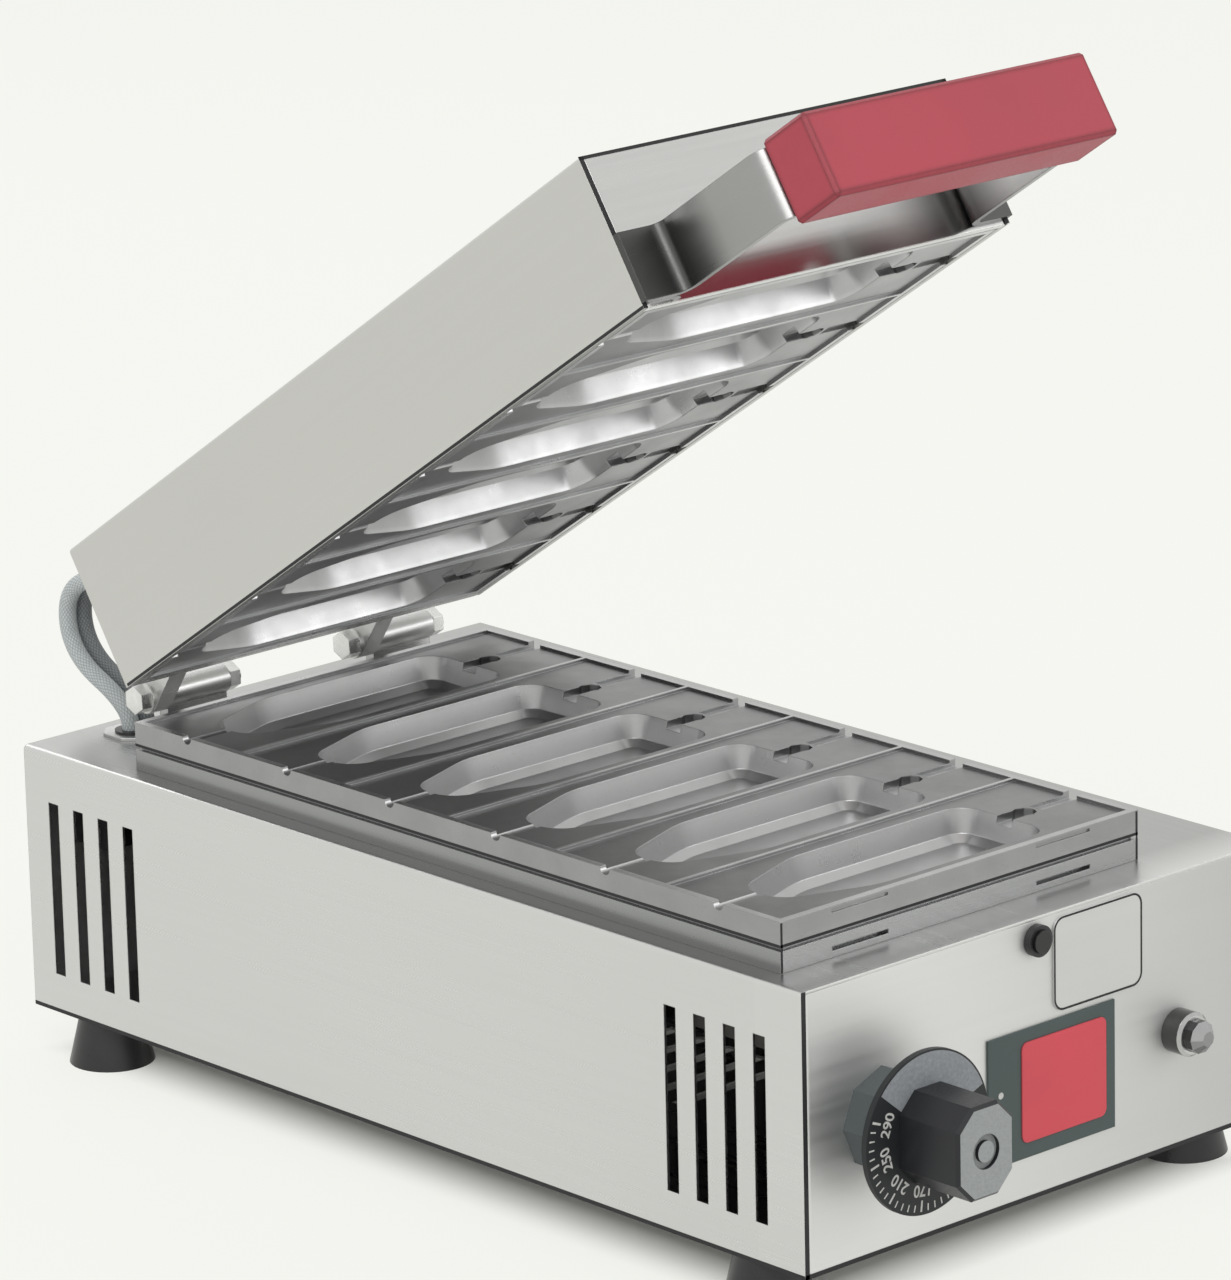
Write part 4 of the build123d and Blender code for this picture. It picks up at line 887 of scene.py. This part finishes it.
# %% [markdown]
# ## Marks on the front panel
#
# The dark plate beside the dial carries two small index dots that the scale is read
# against. The silver plate near the top has a fine printed line just inside its rounded
# edge. Both plates are otherwise bare. The line is a ring between two rounded rectangles,
# one a fraction of a millimetre inside the other.

# %% Plate marks


def panel_dot(name, centre, radius):
    """A flat round mark facing the front: rings of points round its centre."""
    radii = np.linspace(radius, 0, 3)[:, None]
    angles = np.linspace(0, 2 * math.pi, 32, endpoint=False)[None, :]
    points = round_point(centre, radii, angles)[:, ::-1]
    dot = grid_mesh(name, points, True, white_ink, poles=True)
    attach(dot, "base")


def rounded_outline(centre, half_x, half_z, corner, count=8):
    """Points round an upright rectangle with round corners: four quarter arcs in turn."""
    quarter = np.linspace(0, math.pi / 2, count)
    angles = (quarter[None, :] + np.arange(4)[:, None] * math.pi / 2).reshape(-1)
    x = centre[0] + np.repeat([1, -1, -1, 1], count) * (half_x - corner)
    z = centre[2] + np.repeat([1, 1, -1, -1], count) * (half_z - corner)
    y = np.full(angles.shape, centre[1])
    return np.stack([x + corner * np.cos(angles), y, z + corner * np.sin(angles)], -1)


plate_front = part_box("name_plate")[0].y - skin
dot_x = -0.0226
panel_dot("index_dot", (dot_x, plate_front, 0.0628), 0.0013)
panel_dot("index_dot_small", (dot_x, plate_front, 0.0560), 0.0006)

low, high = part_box("rating_plate")
middle = ((low.x + high.x) / 2, low.y - skin, (low.z + high.z) / 2)
half_x, half_z = (high.x - low.x) / 2, (high.z - low.z) / 2
edge_gap, line_width, plate_corner = 0.0001, 0.0008, 0.005
rings = [
    rounded_outline(middle, half_x - inset, half_z - inset, plate_corner - inset)
    for inset in (edge_gap, edge_gap + line_width)
]
border = grid_mesh("rating_border", np.stack(rings), True, dark_ink_and_painted_shadow)
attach(border, "base")
print("rating plate, millimetres:", round(2000 * half_x, 1), "by", round(2000 * half_z, 1))

# %% [markdown]
# ## Backing of the grip
#
# The photograph shows the grip's back mirrored red in the lid's wall, so the bare strip is
# covered there by a thin moulded backing that its screws go through. It is a rounded
# rectangle pushed up from the strip: rings of the same outline, first up its edge, then
# in over a small round, then down to nothing in the middle of its face.

# %% Grip backing
grip_middle = np.array([-0.0202, 0, grip_level])
half_x, half_z, corner = 0.0605, 0.0118, 0.0045
profile = ((0, 0), (0, 0.0009), (0.0001, 0.0011), (0.0003, backing), (0.004, backing))
backing_rings = []
for inset, lift in profile:
    ring_middle = grip_middle + (0, strip_inside + lift, 0)
    backing_rings.append(
        rounded_outline(ring_middle, half_x - inset, half_z - inset, corner - inset)
    )
ring = backing_rings[-1]
backing_rings.append(ring * (0.2, 1, 0.2) + grip_middle * (0.8, 0, 0.8))
backing_rings.append(ring * (0, 1, 0) + grip_middle)
closed_lid = np.stack(backing_rings)[:, ::-1]
points = lid_point(closed_lid[..., 0], closed_lid[..., 1], closed_lid[..., 2])
plate = grid_mesh("grip_backing", points, True, finishes["handle_red"], poles=True)
plate.data.polygons.foreach_set("use_smooth", np.zeros(len(plate.data.polygons), bool))
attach(plate, "lid")
print("grip backing faces:", len(plate.data.polygons))

# %% [markdown]
# ## Painted shadow over the gaps between the folded sheets
#
# Where an end panel meets the wrapped sheet, under the lower mould's rim and along the
# bottom edges, the real machine shows a thin dark line: the sheet's cut edge and the gap
# behind it, in shadow. The CAD gap is a few tenths of a millimetre, too fine to read at this
# distance, so a narrow dark skin of painted shadow lies over each cut edge. Each is a strip
# between two points, a few hundredths of a millimetre proud.

# %% Painted shadow strip over a gap
proud = 0.00005


def painted_shadow_strip(name, start, end, across, outward, width, body):
    """A dark strip of painted shadow from start to end, width wide along across, just proud along
    outward.
    """
    start, end, across, outward = (np.array(v, float) for v in (start, end, across, outward))
    rows = np.linspace(0, 1, 24)[:, None, None]
    columns = np.array([0.0, width])[None, :, None]
    points = start + rows * (end - start) + columns * across + proud * outward
    if np.dot(np.cross(end - start, across), outward) > 0:
        points = points[:, ::-1]
    strip = grid_mesh(name, points, False, dark_ink_and_painted_shadow)
    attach(strip, body)


print("strips stand proud by", 1000 * proud, "millimetres")

# %% [markdown]
# On the base the painted shadow strips follow the front panel's edges, the housing's lower
# edges, the line between the mould and its frame, and the mould's two front corners.

# %% Gaps of the housing and the mould
front, skyward = (0, -1, 0), (0, 0, 1)
panel_gap, side_gap, low_gap, rim_gap, corner_gap = 0.0022, 0.0016, 0.0018, 0.0011, 0.0010
for side, sign in (("left", -1), ("right", 1)):
    foot = (sign * half_width, -half_length, housing_floor)
    head = (sign * half_width, -half_length, deck)
    back_foot = (sign * half_width, half_length, housing_floor)
    painted_shadow_strip(f"gap_front_{side}", foot, head, (-sign, 0, 0), front, panel_gap, "base")
    painted_shadow_strip(f"gap_side_{side}", foot, back_foot, skyward, (sign, 0, 0), side_gap, "base")
painted_shadow_strip(
    "gap_front_low", (-half_width, -half_length, housing_floor),
    (half_width, -half_length, housing_floor), skyward, front, low_gap, "base",
)
low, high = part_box("lower_mould")
inset = 0.0002
frame_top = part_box("mould_frame")[1].z - inset
rim_top = high.z - 0.0005
for side, x, sign in (("left", low.x, -1), ("right", high.x, 1)):
    bottom, back_end = (x, low.y, frame_top), (x, high.y, frame_top)
    painted_shadow_strip(f"gap_rim_{side}", bottom, back_end, skyward, (sign, 0, 0), rim_gap, "base")
    foot, head = (x - inset * sign, low.y, deck + inset), (x - inset * sign, low.y, rim_top)
    painted_shadow_strip(f"gap_corner_{side}", foot, head, (-sign, 0, 0), front, corner_gap, "base")
painted_shadow_strip(
    "gap_rim_front", (low.x, low.y, frame_top), (high.x, low.y, frame_top), skyward, front,
    rim_gap, "base",
)
print("mould rim, millimetres above the deck:", round(1000 * (high.z - deck), 1))

# %% [markdown]
# The lid's painted shadow strips are placed as if it were closed, and turned with it: up both
# front edges, along both lower edges of its sides, and across under its top.

# %% Gaps of the lid
low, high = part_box("lid_wrapper")
lid_front, lid_rear_end, lid_low, lid_top = -0.3839, -0.024, 0.0006, 0.0599
lid_side_gap, lid_top_gap = 0.0012, 0.0013
ahead, lid_down = -lid_back, -lid_up
for side, x, sign in (("left", low.x, -1), ("right", high.x, 1)):
    bottom, top = lid_point(x, lid_front, lid_low), lid_point(x, lid_front, lid_top)
    painted_shadow_strip(f"gap_lid_{side}", bottom, top, (-sign, 0, 0), ahead, panel_gap, "lid")
    back_end = lid_point(x, lid_rear_end, lid_low)
    painted_shadow_strip(f"gap_lid_side_{side}", bottom, back_end, lid_up, (sign, 0, 0), lid_side_gap, "lid")
painted_shadow_strip(
    "gap_lid_top", lid_point(low.x, lid_front, lid_top), lid_point(high.x, lid_front, lid_top),
    lid_down, ahead, lid_top_gap, "lid",
)
print("lid width, millimetres:", round(1000 * (high.x - low.x), 1))

# %% [markdown]
# ## Floor and sky
#
# The photograph is a product shot on near-white paper. Raising the lamps until the floor is
# white would burn out the steel. Instead the floor and the sky are near-white only to the
# camera and in reflections, through the Light Path node, while what lights the object stays
# at a plain level. The floor keeps part of its lit surface, so the object's shadow shows,
# and its glow fades out under the housing, where no light reaches the paper. Far off it
# glows fully, in the sky's own colour, so that no horizon line shows.

# %% Floor
paper = (0.921, 0.923, 0.900)
near_paper = (0.950, 0.958, 0.910)
glow_share, glow_fade = 0.8, 0.03
far_start, far_end = 2.5, 7.0


def floor_finish():
    """Matt pale paper: lit part with barely visible unevenness, and a share that glows."""
    net = Net("floor")
    cloud = net.noise(2, 3.0)
    base = net.mix(cloud, (0.80, 0.80, 0.785), (0.82, 0.82, 0.805))
    material = net.finish(base, 0.9, 0.0, **{"Specular IOR Level": 0.1})
    glow = net.add("ShaderNodeEmission")
    beyond = []
    for direction, half in (((1, 0, 0), half_width), ((0, 1, 0), half_length)):
        away = net.math("ABSOLUTE", net.along(net.coords, direction), 0.0)
        beyond.append(net.math("SUBTRACT", away, half))
    outside = net.math("MAXIMUM", *beyond)
    far = net.ramp(outside, far_start, far_end)
    net.join(net.mix(far, near_paper, paper), glow.inputs["Color"])
    open_paper = net.ramp(outside, -glow_fade, 0.0, 0.0, glow_share)
    open_paper = net.math("ADD", open_paper, net.math("MULTIPLY", far, 1.0 - glow_share))
    share = net.math("MULTIPLY", net.seen_rays(), open_paper)
    blend = net.add("ShaderNodeMixShader")
    net.join(share, blend.inputs["Fac"])
    net.join(net.shader.outputs["BSDF"], blend.inputs[1])
    net.join(glow.outputs["Emission"], blend.inputs[2])
    net.join(blend.outputs["Shader"], net.output.inputs["Surface"])
    return material


reach = 14.0
edge = np.linspace(-reach, reach, 2)
floor_points = np.stack([*np.meshgrid(edge, edge, indexing="ij"), np.zeros((2, 2))], -1)
floor = grid_mesh("floor", floor_points.transpose(1, 0, 2), False, floor_finish())
print("floor, metres across:", 2 * reach)

# %% [markdown]
# The sky that lights the object is a ramp from grey below to white above. The camera and the
# reflections see even paper in its place.

# %% Sky
world = bpy.data.worlds.new("studio")
bpy.context.scene.world = world
world.use_nodes = True
sky = Tree(world.node_tree)
sky_out = sky.add("ShaderNodeOutputWorld")
where = sky.add("ShaderNodeTexCoord")
split = sky.add("ShaderNodeSeparateXYZ")
sky.join(where.outputs["Generated"], split.inputs[0])
levels = sky.add("ShaderNodeValToRGB")
sky.join(sky.ramp(split.outputs["Z"], -1.0, 1.0), levels.inputs["Fac"])
stops = [(0.0, 0.42), (0.50, 0.62), (0.58, 0.78), (0.75, 0.95), (1.0, 1.0)]
levels.color_ramp.elements[0].position = stops[0][0]
levels.color_ramp.elements[1].position = stops[-1][0]
for position, _ in stops[1:-1]:
    levels.color_ramp.elements.new(position)
for element, (_, level) in zip(levels.color_ramp.elements, stops):
    element.color = (level, level, level * 0.985, 1)
surround = sky.add("ShaderNodeBackground")
sky.join(levels.outputs["Color"], surround.inputs["Color"])
surround.inputs["Strength"].default_value = 0.75
backdrop = sky.add("ShaderNodeBackground")
sky.put(backdrop.inputs["Color"], paper)
backdrop.inputs["Strength"].default_value = 1.0
choose = sky.add("ShaderNodeMixShader")
sky.join(sky.seen_rays(), choose.inputs["Fac"])
sky.join(surround.outputs["Background"], choose.inputs[1])
sky.join(backdrop.outputs["Background"], choose.inputs[2])
sky.join(choose.outputs["Shader"], sky_out.inputs["Surface"])
print("sky levels from below to above:", [level for _, level in stops])

# %% [markdown]
# ## Lamps
#
# Three large soft lamps stand in for a studio's soft boxes: the key over the left front, a
# weaker fill from the right, and a rim lamp behind that parts the lid from the paper.

# %% Lamps


def soft_light(name, place, target, width, height, power):
    """A rectangular area light that faces the target."""
    data = bpy.data.lights.new(name, "AREA")
    data.shape = "RECTANGLE"
    data.size = width
    data.size_y = height
    data.energy = power
    lamp = add_object(name, data)
    lamp.location = place
    lamp.rotation_euler = (Vector(target) - Vector(place)).to_track_quat("-Z", "Y").to_euler()


centre = (0.0, 0.0, 0.12)
lamps = {
    "key": ((-1.4, -1.0, 2.0), 1.6, 1.2, 18),
    "fill": ((1.6, -1.8, 1.2), 1.4, 1.0, 7),
    "rim": ((0.6, 1.9, 1.6), 1.4, 0.8, 8),
}
for name, (place, width, height, power) in lamps.items():
    soft_light(name, place, centre, width, height, power)
print("lamp watts:", {name: row[-1] for name, row in lamps.items()})

# %% [markdown]
# ## Camera
#
# The camera's place and lens were found by fitting the housing's corners to the photograph:
# a long lens from the front left, a little above, with a slight roll. It is written as a
# direction, a roll and a place, and turned into a matrix.

# %% Camera
azimuth, elevation, roll = (math.radians(v) for v in (-42.25, 15.93, -1.34))
lens = 210.4
camera_place = (-1.7721, -1.9456, 0.9376)
level = math.cos(elevation)
back = np.array([math.sin(azimuth) * level, -math.cos(azimuth) * level, math.sin(elevation)])
right = np.cross((0, 0, 1), back)
right /= np.linalg.norm(right)
upward = np.cross(back, right)
right, upward = (
    math.cos(roll) * right + math.sin(roll) * upward,
    math.cos(roll) * upward - math.sin(roll) * right,
)
camera_data = bpy.data.cameras.new("camera")
camera_data.sensor_fit = "HORIZONTAL"
camera_data.sensor_width = 36.0
camera_data.lens = lens
camera_data.clip_end = 60
camera = add_object("camera", camera_data)
matrix = np.eye(4)
matrix[:3, 0], matrix[:3, 1], matrix[:3, 2] = right, upward, back
matrix[:3, 3] = camera_place
camera.matrix_world = Matrix(matrix.tolist())
bpy.context.scene.camera = camera
bpy.context.scene.view_settings.view_transform = "Standard"
print("camera distance, metres:", round(math.hypot(*camera_place), 2))

# %% [markdown]
# The dressed model has to stay inside the CAD model's box.
